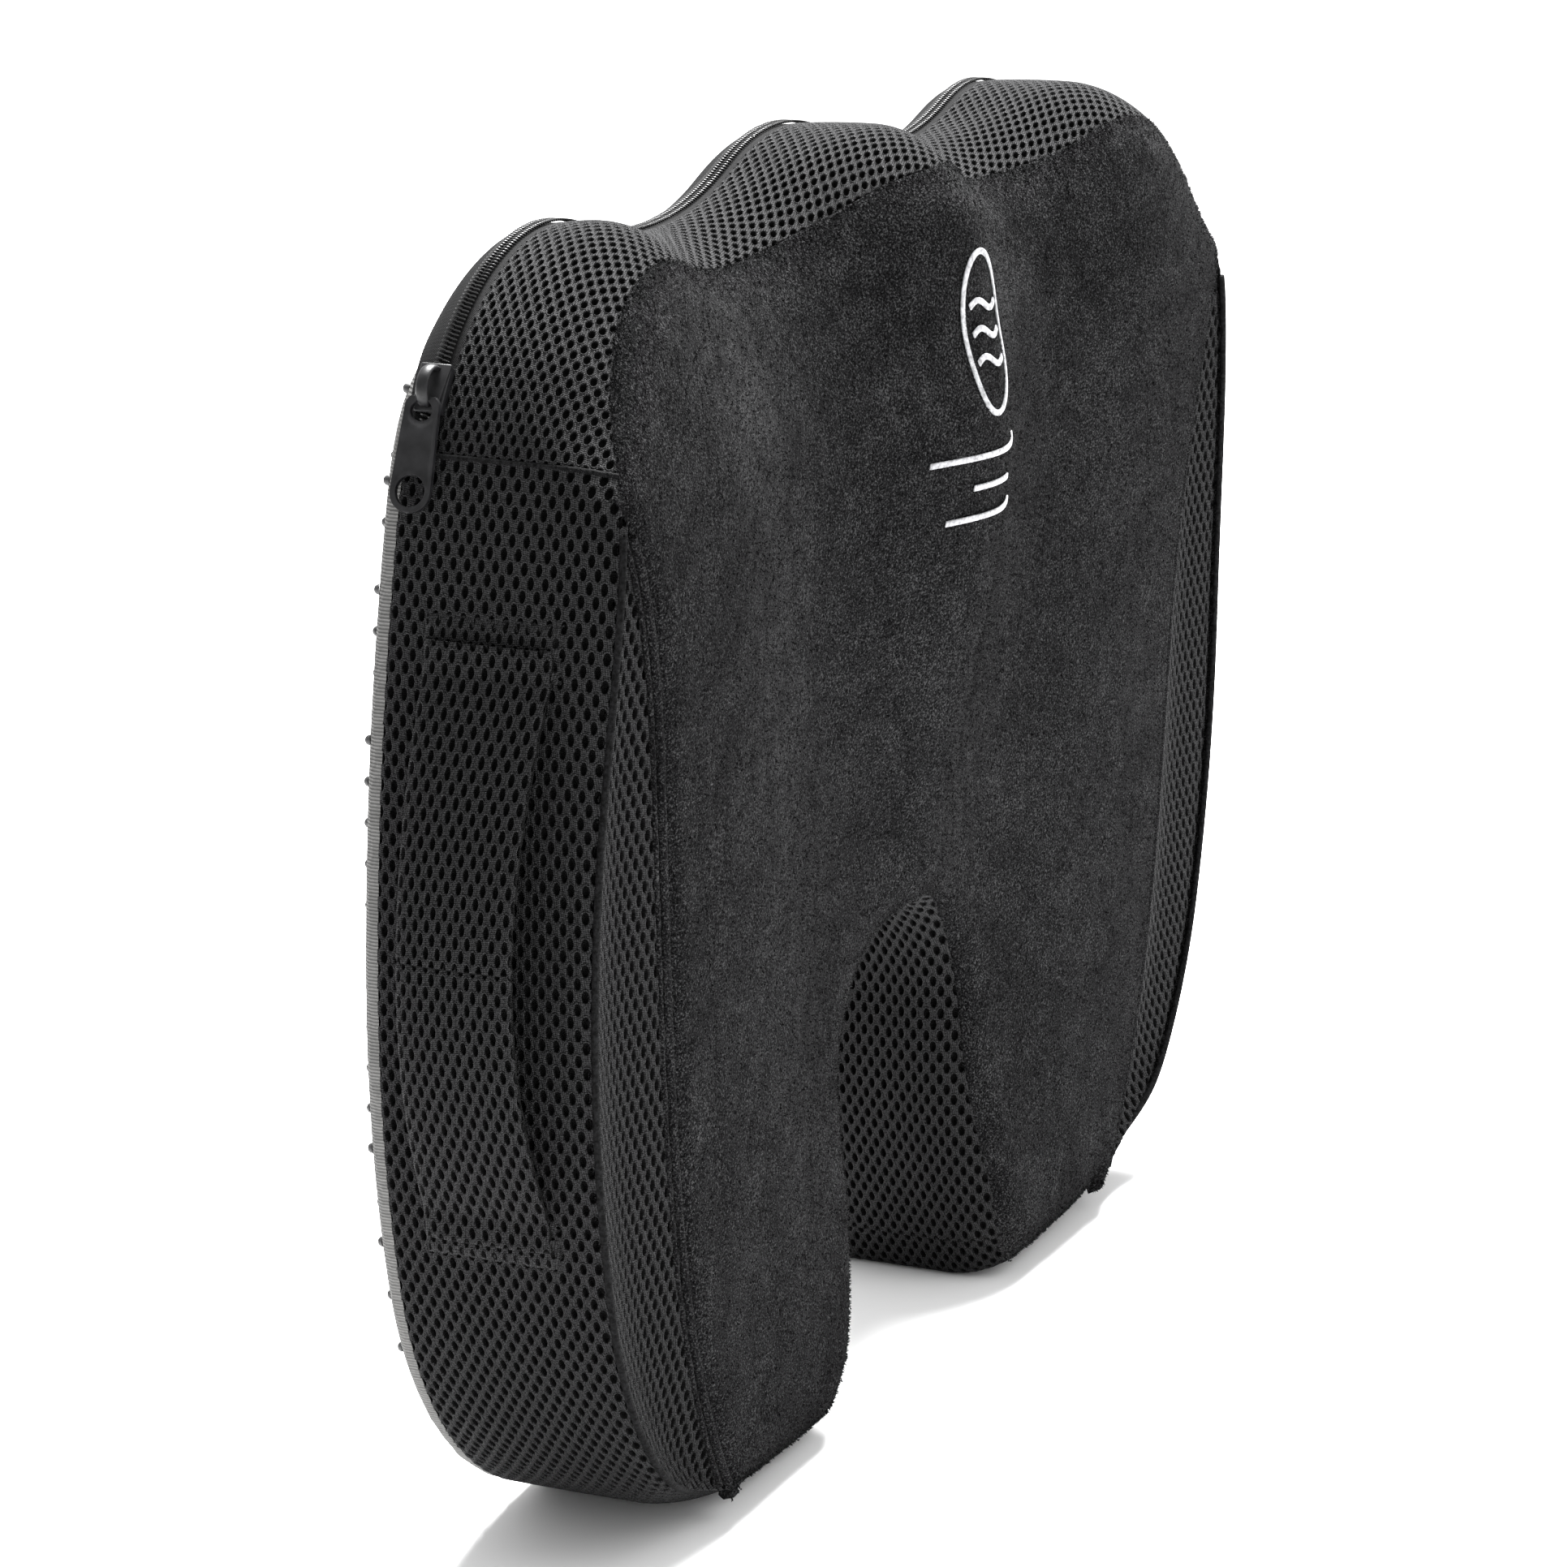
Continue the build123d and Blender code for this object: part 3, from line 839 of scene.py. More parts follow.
# %% Ribbed cloth with a folded edge
grip_outline = outline - outward * tuck[:, None]
grip_lines = horseshoe_lines(grip_outline)
grip_rims = [even_steps(line, 1 * MM) for line in grip_lines]
grip_edges = edge_tree([(line, np.ones(len(line))) for line in grip_rims])[0]
fold = 4.2 * MM
grip, s, t = unit_grid("grip_cloth", 420, 90)
flat = horseshoe(*grip_lines, s, crowded(t, 0.6))
gaps = np.array([grip_edges.find(Vector((x, 0, z)))[2] for x, z in flat])
inside = np.clip(gaps / fold, 0, 1)
round_off = fold * (1 - np.sqrt(1 - (1 - inside) ** 2))
places = np.stack([flat[:, 0], grip_y - round_off, flat[:, 1]], -1)
places[:, 1] += 0.25 * MM * bumps(places, 45 * MM, 5) * inside - 0.25 * MM
set_corners(grip, places)
edit_all(grip)
bpy.ops.mesh.region_to_loop()
bpy.ops.mesh.extrude_edges_move()
edited()
pull_to(grip, wrap_y - 0.2 * MM)
grip.data.shade_smooth()
belongs(grip, "root", "grip", "base_panel")
print("grip cloth:", len(grip.data.polygons), "faces, normal y",
      round(grip.data.polygons[len(grip.data.polygons) // 2].normal.y, 2))

# %% [markdown]
# ## Many small things from one
#
# Rubber dots, coil loops, stitches and threads each come in hundreds. One is modelled and its
# corners are then placed many times into one mesh, each copy with its own turn.

# %% Scatter one small model
def scatter(name, model, places):
    """One mesh with a copy of the model at each place, given as 4 by 4 matrices."""
    corners = np.column_stack([corner_array(model), np.ones(len(model.data.vertices))])
    faces = [tuple(face.vertices) for face in model.data.polygons]
    placed = np.einsum("mij,nj->mni", np.array(places), corners)[:, :, :3]
    every = [tuple(i + k * len(corners) for i in face) for k in range(len(places)) for face in faces]
    mesh = bpy.data.meshes.new(name)
    mesh.from_pydata(placed.reshape(-1, 3).tolist(), [], every)
    piece = bpy.data.objects.new(name, mesh)
    bpy.context.scene.collection.objects.link(piece)
    bpy.data.objects.remove(model)
    mesh.shade_smooth()
    print(name, "has", len(places), "copies,", len(mesh.polygons), "faces")
    return piece


def pose(origin, x_axis, y_axis, z_axis):
    """A 4 by 4 matrix from a place and three directions."""
    m = np.eye(4)
    m[:3, 0], m[:3, 1], m[:3, 2], m[:3, 3] = x_axis, y_axis, z_axis, origin
    return m


# %% [markdown]
# ## The velour's pile
#
# A soft pile has no crisp outline. Tens of thousands of tiny tufts, each leaning its own way, break
# up the velour's edge against the light, which bump in a material can't do.

# %% Tufts of the velour's pile
tuft_count = 60000
tuft_reach = 1.2 * MM


def tuft():
    """One tuft of fibres: a thin open cone."""
    bpy.ops.mesh.primitive_cone_add(vertices=3, radius1=0.27 * MM, radius2=0, depth=tuft_reach,
                                    end_fill_type="NOTHING")
    return bpy.context.active_object


def tuft_places(count):
    """Random places all over the velour, each tuft leaning its own way."""
    rng = np.random.default_rng(11)
    gaps = np.array([velour_edges.find(Vector((c.x, 0, c.z)))[2] for c, _, _ in pile_faces])
    areas = np.array([area for _, _, area in pile_faces]) * (1 + 5 * np.exp(-gaps / (2 * MM)))
    found = []
    for i in rng.choice(len(areas), count, p=areas / areas.sum()):
        centre, normal, _ = pile_faces[i]
        stray = Vector(rng.normal(0, 0.5, 3))
        up = (normal + stray).normalized()
        side = up.cross(Vector(rng.normal(0, 1, 3))).normalized()
        place = centre + stray.cross(normal) * tuft_reach + normal * 0.25 * MM
        if place.z > 3 * MM:
            found.append(pose(place, side, up.cross(side), up))
    return found


pile = scatter("velour_pile", tuft(), tuft_places(tuft_count))
belongs(pile, "root", "velour")

# %% [markdown]
# ## Rubber dots
#
# Soft dots in staggered rows keep the cushion from sliding. Each is a dome, half of a sphere cut by
# a bisect. A place counts as inside the cloth when a line from it crosses the outline an odd
# number of times, and the outermost dots tilt with the cloth as it folds over the edge.

# %% Rubber dots
def rubber_dot():
    """A low dome, cut from a sphere by a bisect and flattened."""
    bpy.ops.mesh.primitive_uv_sphere_add(segments=10, ring_count=6, radius=1.45 * MM)
    dot = bpy.context.active_object
    edit_all(dot)
    bpy.ops.mesh.bisect(plane_co=(0, 0, 0), plane_no=(0, 0, 1), clear_inner=True)
    bpy.ops.mesh.select_all(action="SELECT")
    bpy.ops.transform.resize(value=(1, 1, 0.95))
    edited()
    return dot


def dot_places(pitch):
    """Staggered places over the grip side, and a few that show on the folded edge."""
    found = []
    rows = int(outline[:, 1].max() / (pitch / 2)) + 2
    for row in range(rows):
        z = row * pitch / 2
        for column in range(-25, 26):
            x = middle_x + (column + 0.5 * (row % 2)) * pitch
            crosses = (grip_outline[:-1, 1] > z) != (grip_outline[1:, 1] > z)
            a, b = grip_outline[:-1][crosses], grip_outline[1:][crosses]
            hits = a[:, 0] + (z - a[:, 1]) * (b[:, 0] - a[:, 0]) / (b[:, 1] - a[:, 1])
            gap = grip_edges.find(Vector((x, 0, z)))[2]
            if np.sum(hits > x) % 2 and gap > 1.6 * MM:
                found.append((x, z, gap))
    return found


dot_sink = 0.3 * MM


def edge_normal(x, z, gap):
    """Place and direction of the rolled grip cloth at a distance from its edge."""
    if gap >= fold:
        return grip_y - dot_sink, Vector((0, 1, 0))
    near = grip_edges.find(Vector((x, 0, z)))[0]
    out = (near - Vector((x, 0, z))).normalized()
    share = 1 - gap / fold
    rise = math.sqrt(max(1 - share * share, 0))
    return grip_y - fold * (1 - rise) - dot_sink, Vector((out.x * share, rise, out.z * share))


dot_pitch = 10.6 * MM
matrices = []
for x, z, gap in dot_places(dot_pitch):
    y, normal = edge_normal(x, z, gap)
    side = normal.cross(Vector((0, 0, 1))).normalized()
    matrices.append(pose((x, y, z), side, normal.cross(side), normal))
dots = scatter("rubber_dots", rubber_dot(), matrices)
belongs(dots, "root", "grip")

# %% [markdown]
# ## Rolled edges and seams
#
# A velour edge beside mesh is turned under and sewn down, which leaves a fat roll with a thinner
# one beside it. Each roll is a ring swept along its line: a curve with a round bevel, which is
# then converted to a mesh.

# %% Sweep a round roll along a line
def roll_along(name, points, radius, sides=8):
    """A tube along points in space, with closed ends."""
    curve = bpy.data.curves.new(name, "CURVE")
    curve.dimensions = "3D"
    curve.bevel_depth = radius
    curve.bevel_resolution = max(sides // 2 - 2, 0)
    curve.use_fill_caps = True
    line = curve.splines.new("POLY")
    line.points.add(len(points) - 1)
    for point, place in zip(line.points, points):
        point.co = (*place, 1)
    piece = bpy.data.objects.new(name, curve)
    bpy.context.scene.collection.objects.link(piece)
    only(piece)
    bpy.ops.object.convert(target="MESH")
    piece = bpy.context.active_object
    piece.data.shade_smooth()
    return piece


def joined(name, pieces):
    """Several pieces as one."""
    bpy.ops.object.select_all(action="DESELECT")
    for piece in pieces:
        piece.select_set(True)
    bpy.context.view_layer.objects.active = pieces[0]
    bpy.ops.object.join()
    pieces[0].name = name
    return pieces[0]


def beside_velour(side, offset, sink):
    """A line beside the velour's edge, on the gusset."""
    line = even_steps(leaf[side], 2 * MM)
    run = np.gradient(line, axis=0)
    run /= np.linalg.norm(run, axis=1)[:, None]
    line = line + np.stack([run[:, 1], -run[:, 0]], -1) * side * offset
    top_gap = 45 * MM if side > 0 else 10 * MM
    line = line[(line[:, 1] > 12 * MM) & (line[:, 1] < leaf[side][-1, 1] - top_gap)]
    y = seat_y(line[:, 0], line[:, 1]) + sink
    return np.stack([line[:, 0], y, line[:, 1]], -1)


for side, word in ((-1, "left"), (1, "right")):
    fat = roll_along("fat", beside_velour(side, 0.4 * MM, 2.6 * MM), 1.35 * MM, 10)
    thin = roll_along("thin", beside_velour(side, 3.0 * MM, 3.3 * MM), 0.8 * MM)
    belongs(joined("velour_roll_" + word, [fat, thin]), "root", "velour", "welt_" + word)

# %% Seams between the walls and the gussets, and across the side bands
def seam_line(first, last, sink, out):
    """The seat seam in space, between two distances along the outline."""
    steps = np.arange(first, last, 2 * MM)
    place = at(steps, seam) + at(steps, outward) * out
    return np.stack([place[:, 0], at(steps, seam_y) + sink, place[:, 1]], -1)


low_walk = {-1: walk[low_left], 1: walk[low_right]}
high_walk = {-1: walk[high_left], 1: walk[high_right]}
for side, word in ((-1, "left"), (1, "right")):
    first, last = sorted((low_walk[side], high_walk[side]))
    first, last = first + 9 * MM, last - 9 * MM
    ridge = roll_along("ridge", seam_line(first, last, -0.1 * MM, 0.2 * MM), 1.0 * MM)
    place = seam_left if side < 0 else seam_right
    width = side_foot - at(np.array([place]), seam_y)[0]
    heights = np.linspace(0, width, 30)
    across = wall(np.full(30, place), heights, side_foot, 1.0 * MM)
    fold_line = roll_along("fold", across, 0.8 * MM)
    belongs(joined("wall_seams_" + word, [ridge, fold_line]), "root", "mesh")

# %% [markdown]
# ## The zip
#
# A coil zip has two woven tapes and, between them, two rows of nylon coil. The tapes are strips
# bent along the outline with a rib for each weft. The lower one widens where the grip cloth is
# tucked in.

# %% Ribbed tapes
tape_foot_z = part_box("zip_tape_upper")[0].z
zip_start, zip_end = side_crossing(tape_foot_z, -1), side_crossing(tape_foot_z, 1)


def out_of_wall(walked, y, out):
    """A place at a distance outside the outline, which is tucked in below the zip."""
    y = np.broadcast_to(y, walked.shape)
    below = np.clip((y - zip_y) / (grip_y - zip_y), 0, 1)
    out = out - at(walked, tuck) * below**2
    place = at(walked, outline) + at(walked, outward) * np.reshape(out, (-1, 1))
    return np.stack([place[:, 0], y, place[:, 1]], -1)


max_tuck_width = grip_y - wrap_y - 1.6 * MM


def tape(name, y_from, y_to, node):
    """A woven strip with a shallow rib for each step along it."""
    rib = 1.3 * MM
    piece, s, t = unit_grid(name, int((zip_end - zip_start) / rib) * 2, 8)
    walked = zip_start + s * (zip_end - zip_start)
    ribs = 0.16 * MM * np.cos(2 * math.pi * walked / rib)
    crown = 0.5 * MM * np.sin(math.pi * t)
    wider = max_tuck_width * at(walked, tuck) / tuck.max() if y_to > zip_y else 0
    y = y_from + t * (y_to - y_from + wider)
    set_corners(piece, out_of_wall(walked, y, ribs + crown - 0.5 * MM))
    keep_flat_places(piece, np.stack([t * (y_to - y_from), walked], -1))
    modified(piece, "SOLIDIFY", thickness=0.7 * MM, offset=-1)
    piece.data.shade_smooth()
    belongs(piece, "root", "zip_tape", node)


tape("zip_tape_woven_upper", front_foot - 1.5 * MM, zip_y, "zip_tape_upper")
tape("zip_tape_woven_lower", zip_y, wrap_y + 1.2 * MM, "zip_tape_lower")

# %% [markdown]
# ## The nylon coil
#
# Each loop of a coil zip shows as a short bar across the tape. One bar gets rounded ends by a
# bevel, and the two rows are copies of it, leaned a little and half a step apart.

# %% Nylon coil
def coil_loop():
    """One loop of the coil: a bar with rounded ends."""
    bpy.ops.mesh.primitive_cylinder_add(vertices=6, radius=0.42 * MM, depth=2.1 * MM)
    loop = bpy.context.active_object
    modified(loop, "BEVEL", width=0.22 * MM, segments=1, limit_method="ANGLE")
    return loop


def coil_row(name, row, node):
    """A row of loops, leaned towards the other row."""
    low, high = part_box(node)
    middle = (low.y + high.y) / 2
    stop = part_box("zip_stop_start")[1].z
    first, last = side_crossing(stop, -1) + 1 * MM, side_crossing(stop, 1) - 1 * MM
    pitch = 1.27 * MM
    steps = np.arange(first + (0.5 * pitch if row > 0 else 0), last, pitch)
    places = out_of_wall(steps, middle, np.full(len(steps), 0.62 * MM))
    out, run = at(steps, outward), np.gradient(at(steps, outline), axis=0)
    matrices = []
    for place, o, r in zip(places, out, run):
        r = Vector((r[0], 0, r[1])).normalized()
        bar = (Vector((0, 1, 0)) + r * 0.22).normalized()
        n = Vector((o[0], 0, o[1]))
        matrices.append(pose(place, r, n, bar))
    belongs(scatter(name, coil_loop(), matrices), "root", "zip_coil", node)


coil_row("zip_loops_upper", -1, "zip_coil_upper")
coil_row("zip_loops_lower", 1, "zip_coil_lower")

# %% [markdown]
# ## The slider and its pull
#
# The slider keeps the CAD node's place. Its body is a block that is bevelled until it looks cast,
# with a raised bridge that holds the pull: half of a torus, cut by a bisect and widened.

# %% Frame of the slider
slide = next(j for j in frame["joints"] if j["name"] == "zip_slide")
pin = next(j for j in frame["joints"] if j["name"] == "zip_pull")
slide_centre, pin_place = Vector(slide["pos_m"]), Vector(pin["pos_m"])
slider_low, slider_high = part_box("zip_slider")
from_centre = (slider_low + slider_high) / 2 - slide_centre
slider_out = Vector((from_centre.x, 0, from_centre.z)).normalized()
slider_run = Vector((0, 1, 0)).cross(slider_out)
if slider_run.z < 0:
    slider_run = -slider_run
slider_across = Vector((0, 1, 0))


def outline_radius():
    """Radius of the outline's corner that the slider runs round."""
    gaps = outline - np.array([slide_centre.x, slide_centre.z])
    angles = np.degrees(np.arctan2(gaps[:, 1], -gaps[:, 0]))
    here = (angles > 25) & (angles < 60) & (gaps[:, 0] < 0)
    return float(np.median(np.linalg.norm(gaps[here], axis=1)))


corner_radius = outline_radius()
print("slider runs round a corner of", round(corner_radius / MM, 1), "mm")


slider_frame = Matrix(pose(slide_centre + slider_out * corner_radius, slider_run, slider_across,
                           slider_run.cross(slider_across)).tolist())


def cast_block(size, place, bevel_width):
    """A block with rounded edges in the slider's own frame."""
    bpy.ops.object.select_all(action="DESELECT")
    bpy.ops.mesh.primitive_cube_add(size=1)
    block = bpy.context.active_object
    edit_all(block)
    bpy.ops.transform.resize(value=size)
    bpy.ops.transform.translate(value=place)
    edited()
    modified(block, "BEVEL", width=bevel_width, segments=3)
    return block


def narrowed(block, share):
    """Pinches the lower end of a block in y."""
    places = corner_array(block)
    along = 1 - (places[:, 0] - places[:, 0].min()) / np.ptp(places[:, 0])
    places[:, 1] *= 1 - (1 - share) * along ** 1.5
    set_corners(block, places)
    return block


def slider_body():
    """Lid, two flanges and the bridge."""
    lid = narrowed(cast_block((12.9 * MM, 8.4 * MM, 1.4 * MM), (0, 0, 2.3 * MM), 0.5 * MM), 0.72)
    flanges = [cast_block((12.4 * MM, 1.1 * MM, 2.6 * MM), (0, side * 3.6 * MM, 1.1 * MM), 0.4 * MM)
               for side in (-1, 1)]
    bpy.ops.object.select_all(action="DESELECT")
    bpy.ops.mesh.primitive_torus_add(major_segments=28, minor_segments=10,
                                     major_radius=4.9 * MM, minor_radius=0.75 * MM)
    bridge = bpy.context.active_object
    edit_all(bridge)
    bpy.ops.mesh.bisect(plane_co=(0, 0, 0), plane_no=(0, 1, 0), clear_inner=True, use_fill=True)
    bpy.ops.mesh.select_all(action="SELECT")
    bpy.ops.transform.resize(value=(1, 0.95, 2.3))
    edited()
    places = corner_array(bridge)
    set_corners(bridge, np.stack([places[:, 0], places[:, 2], places[:, 1] + 2.9 * MM], -1))
    bridge.data.flip_normals()
    return joined("slider_body", [lid, *flanges, bridge])


body = slider_body()
body.data.transform(slider_frame)
body.data.shade_smooth()
belongs(body, "slider", "slider", "zip_slider")
plate = cast_block((10.5 * MM, 7.6 * MM, 1.0 * MM), (0, 0, -3.4 * MM), 0.4 * MM)
plate.name = "slider_inner_plate"
plate.data.transform(slider_frame)
plate.data.shade_smooth()
belongs(plate, "slider", "slider", "zip_slider_plate")

# %% [markdown]
# ## The pull tab
#
# The pull is a flat tab with a raised rim, an eye at the top for the bridge and a round hole at the
# lower end. A grid is bent to the tab's outline, the two windows are cut out of it, and a
# thickness and a bevel make it solid. Its face is then sunk between the rims.

# %% Pull tab
pull_low, pull_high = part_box("zip_pull_tab")
pull_middle = (pull_low + pull_high) / 2
pull_run = Vector((pull_middle.x - pin_place.x, 0, pull_middle.z - pin_place.z)).normalized()
pull_out = Vector((0, 1, 0)).cross(pull_run)
if pull_out.x > 0:
    pull_out = -pull_out
pull_length = 29 * MM
top_half = 4.5 * MM
foot_half = 5.5 * MM
ring_centre = pull_length - foot_half
ring_radius = 4.0 * MM
eye_centre = 3.5 * MM
eye_radius = (2.7 * MM, 3.0 * MM)


def pull_half(x):
    """Half the tab's width down to the middle of its ring."""
    return top_half + np.clip(x / ring_centre, 0, 1) * (foot_half - top_half)


def pull_tab():
    """A flat tab along x from the pin, with a round foot."""
    bpy.ops.object.select_all(action="DESELECT")
    bpy.ops.mesh.primitive_grid_add(x_subdivisions=46, y_subdivisions=18, size=1)
    tab = bpy.context.active_object
    tab.name = "pull_tab"
    places = corner_array(tab)
    along, across = places[:, 0] + 0.5, places[:, 1] * 2
    x = along * pull_length
    past = np.clip(x - ring_centre, 0, None)
    half = np.where(past > 0, np.sqrt(np.maximum(foot_half**2 - past**2, 0)), pull_half(x))
    shoulder = np.clip(1 - x / (2 * MM), 0, 1)
    half = half - 1.2 * MM * shoulder**2
    set_corners(tab, np.stack([x, across * half, np.zeros_like(x)], -1))
    return tab


def cut_oval(copy, centre, radius_x, radius_y):
    """Deletes the faces inside an oval and pulls the rim that is left onto it."""
    def gap(v):
        return math.hypot((v.x - centre) / radius_x, v.y / radius_y)

    gone = [f for f in copy.faces if gap(f.calc_center_median()) < 1]
    bmesh.ops.delete(copy, geom=gone, context="FACES")
    for v in copy.verts:
        if v.is_boundary and gap(v.co) < 1.3 and abs(v.co.y) < 4.4 * MM and v.co.x > 0.3 * MM:
            share = 1 / max(gap(v.co), 0.01)
            v.co = (centre + (v.co.x - centre) * share, v.co.y * share, 0)


def cut_windows(tab):
    """The eye for the bridge and the round hole."""
    copy = bmesh.new()
    copy.from_mesh(tab.data)
    cut_oval(copy, eye_centre, *eye_radius)
    cut_oval(copy, ring_centre, ring_radius, ring_radius)
    bmesh.ops.remove_doubles(copy, verts=copy.verts, dist=0.02 * MM)
    bmesh.ops.dissolve_degenerate(copy, edges=copy.edges, dist=0.02 * MM)
    copy.to_mesh(tab.data)
    copy.free()


tab = pull_tab()
cut_windows(tab)
modified(tab, "SOLIDIFY", thickness=1.5 * MM, offset=0)
modified(tab, "BEVEL", width=0.28 * MM, segments=2, limit_method="ANGLE")
tab_pose = pose(pin_place, pull_run, Vector((0, 1, 0)), pull_run.cross(Vector((0, 1, 0))))
places = corner_array(tab)
ring_gap = np.hypot(places[:, 0] - ring_centre, places[:, 1]) - ring_radius
eye_gap = (np.hypot((places[:, 0] - eye_centre) / 2.7, places[:, 1] / 3.0) - 1 * MM) * 2.8
side_gap = pull_half(places[:, 0]) - np.abs(places[:, 1])
rim_gap = np.minimum(np.minimum(side_gap, ring_gap), eye_gap)
inner_face = eased((rim_gap - 0.7 * MM) / (0.5 * MM)) * (places[:, 0] > 5 * MM)
places[:, 2] *= 1 - 0.6 * inner_face * (places[:, 0] < ring_centre)
set_corners(tab, places)
tab.data.transform(Matrix(tab_pose.tolist()))
tab.data.shade_smooth()
belongs(tab, "pull", "slider", "zip_pull_tab")
print("pull tab:", len(tab.data.polygons), "faces")

# %% [markdown]
# ## The carry handle
#
# The handle is a flat tube of the same mesh cloth, sewn to the wall at both ends and bowed out
# between them so that fingers fit behind. It is made in two halves, which meet at its middle.

# %% Strap halves
strap_low, strap_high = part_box("handle_strap")
strap_middle_z = (strap_low.z + strap_high.z) / 2
strap_middle_y = (strap_low.y + strap_high.y) / 2
strap_half_width = (strap_high.y - strap_low.y) / 2
tabs_top, tabs_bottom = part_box("handle_tab_top"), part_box("handle_tab_bottom")


def wall_at(z):
    """x of the left wall's outline for heights."""
    here = (outline[:, 1] > 30 * MM) & (walk < seam_left + 60 * MM)
    return np.interp(z, outline[here, 1], outline[here, 0])


def strap_centre_x(z):
    """The strap's own middle line: on the wall at its ends, bowed out between them."""
    span = strap_high.z - strap_low.z
    share = np.clip((z - strap_low.z) / span, 0, 1)
    middle = (strap_low.x - wall_at(strap_middle_z)) - 2.5 * MM
    return wall_at(z) - 2.6 * MM + middle * np.sin(math.pi * share) ** 0.9


def strap_surface(z, around):
    """A flat tube: around runs once about its section."""
    turn = np.interp(around / strap_round, section_walk / section_walk[-1], section_turn)
    waist = 1 - 0.10 * np.sin(math.pi * np.clip((z - strap_low.z) / (strap_high.z - strap_low.z), 0, 1))
    section = strap_section(turn)
    return np.stack([strap_centre_x(z) - section[:, 1], strap_middle_y + section[:, 0] * waist, z], -1)


def strap_section(turn):
    """The flat tube's section: y and the distance out."""
    y = -np.sign(np.cos(turn)) * np.abs(np.cos(turn)) ** 0.7 * (strap_half_width - 1.0 * MM)
    out = np.sign(np.sin(turn)) * np.abs(np.sin(turn)) ** 0.6 * strap_half_thickness
    return np.stack([y, out], -1)


strap_half_thickness = 2.3 * MM
section_turn = np.linspace(0, 2 * math.pi, 2001)
section_walk = length_along(strap_section(section_turn))
strap_round = 20 * cell_across


def strap_limits(z):
    """The tube's whole way round, at every height."""
    return np.zeros_like(z), np.full_like(z, strap_round)


half_strap = {}
for word, low, high in (("lower", tabs_bottom[0].z + 4 * MM, strap_middle_z),
                        ("upper", strap_middle_z, tabs_top[1].z - 4 * MM)):
    piece = mesh_cloth("handle_" + word, low, high, strap_limits, strap_surface, side=1)
    places = corner_array(piece)
    # Painted shade: the half of the tube that faces the wall is darkened.
    painted_shade(piece, 0.7 * (places[:, 0] > strap_centre_x(places[:, 2]) + 0.3 * MM))
    half_strap[word] = piece
    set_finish(piece, "mesh")
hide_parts("handle_strap")
for word, end in (("lower", strap_low.z), ("upper", strap_high.z)):
    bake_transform(half_strap[word])

# %% [markdown]
# ## The handle's sewn ends
#
# Where the strap is sewn down it is pressed flat on the wall, and its row of stitches pulls a
# groove across it, which is darkened with painted shade. Each end is a pad of finer mesh, raised
# inside its rim, with that groove.

# %% Sewn ends
def sewn_end(name, z_from, z_to, groove_z, node):
    """The strap's end, pressed flat on the wall, with the groove of its row of stitches."""
    half = strap_half_width + 0.8 * MM

    def limits(z):
        return np.full_like(z, strap_middle_y - half), np.full_like(z, strap_middle_y + half)

    def surface(z, y):
        rim = np.minimum(half - np.abs(y - strap_middle_y), np.minimum(z - z_from, z_to - z))
        rise = 2.8 * MM * np.sqrt(np.clip(rim / (2 * MM), 0, 1)) - 0.4 * MM
        rise = rise - 1.5 * MM * np.exp(-((z - groove_z) / (0.8 * MM)) ** 2)
        return np.stack([wall_at(z) - rise, y, z], -1)

    piece = mesh_cloth(name, z_from, z_to, limits, surface, side=1, relief=0.6, size=0.8)
    # Painted shade along the stitch groove.
    painted_shade(piece, np.abs(corner_array(piece)[:, 2] - groove_z) < 0.9 * MM)
    belongs(piece, "root", "mesh", node)


sewn_end("handle_end_upper", tabs_top[0].z - 1 * MM, tabs_top[1].z + 2 * MM, tabs_top[0].z + 3.5 * MM,
         "handle_tab_top")
sewn_end("handle_end_lower", tabs_bottom[0].z - 2 * MM, tabs_bottom[1].z + 1 * MM,
         tabs_bottom[1].z - 3.5 * MM, "handle_tab_bottom")

# %% [markdown]
# ## The embroidery
#
# A satin stitch fills a line with threads laid side by side across it. Each thread is a thin bar,
# raised in the middle, and the threads lean a little, which gives the silk its broken shine.

# %% Threads of the motif
def thread_bar():
    """One thread of the satin stitch."""
    bpy.ops.mesh.primitive_cylinder_add(vertices=5, radius=0.5, depth=1)
    bar = bpy.context.active_object
    edit_all(bar)
    bpy.ops.mesh.bevel(offset=0.18, segments=1, affect="EDGES")
    edited()
    return bar


emblem_low, emblem_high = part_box("emblem")
motif_x = (emblem_low.x + emblem_high.x) / 2
motif_pitch = 8.5 * MM
motif_half = np.array([11.0, 23.0]) * MM
motif_z = emblem_high.z - motif_half[1]
thread_pitch = 0.42 * MM
thread_length = 1.75 * MM


def motif_lines():
    """The lines of the motif, as rows of x and z about its middle."""
    turn = np.linspace(0, 2 * math.pi, 400)
    inset = motif_half - 0.9 * MM
    lines = [np.stack([inset[0] * np.cos(turn), inset[1] * np.sin(turn)], -1)]
    x = np.linspace(-1, 1, 80) * 0.6 * motif_half[0]
    for step in (-1, 0, 1):
        rise = -1.4 * MM * np.sin(math.pi * x / (0.6 * motif_half[0]))
        lines.append(np.stack([x, step * motif_half[1] / 3 + rise], -1))
    for count, length in enumerate((54 * MM, 20 * MM, 40 * MM)):
        z = -motif_half[1] - (count + 1.2) * motif_pitch
        x = np.linspace(-length / 2, length / 2, 80)
        lines.append(np.stack([x, np.full(80, z)], -1))
    return lines


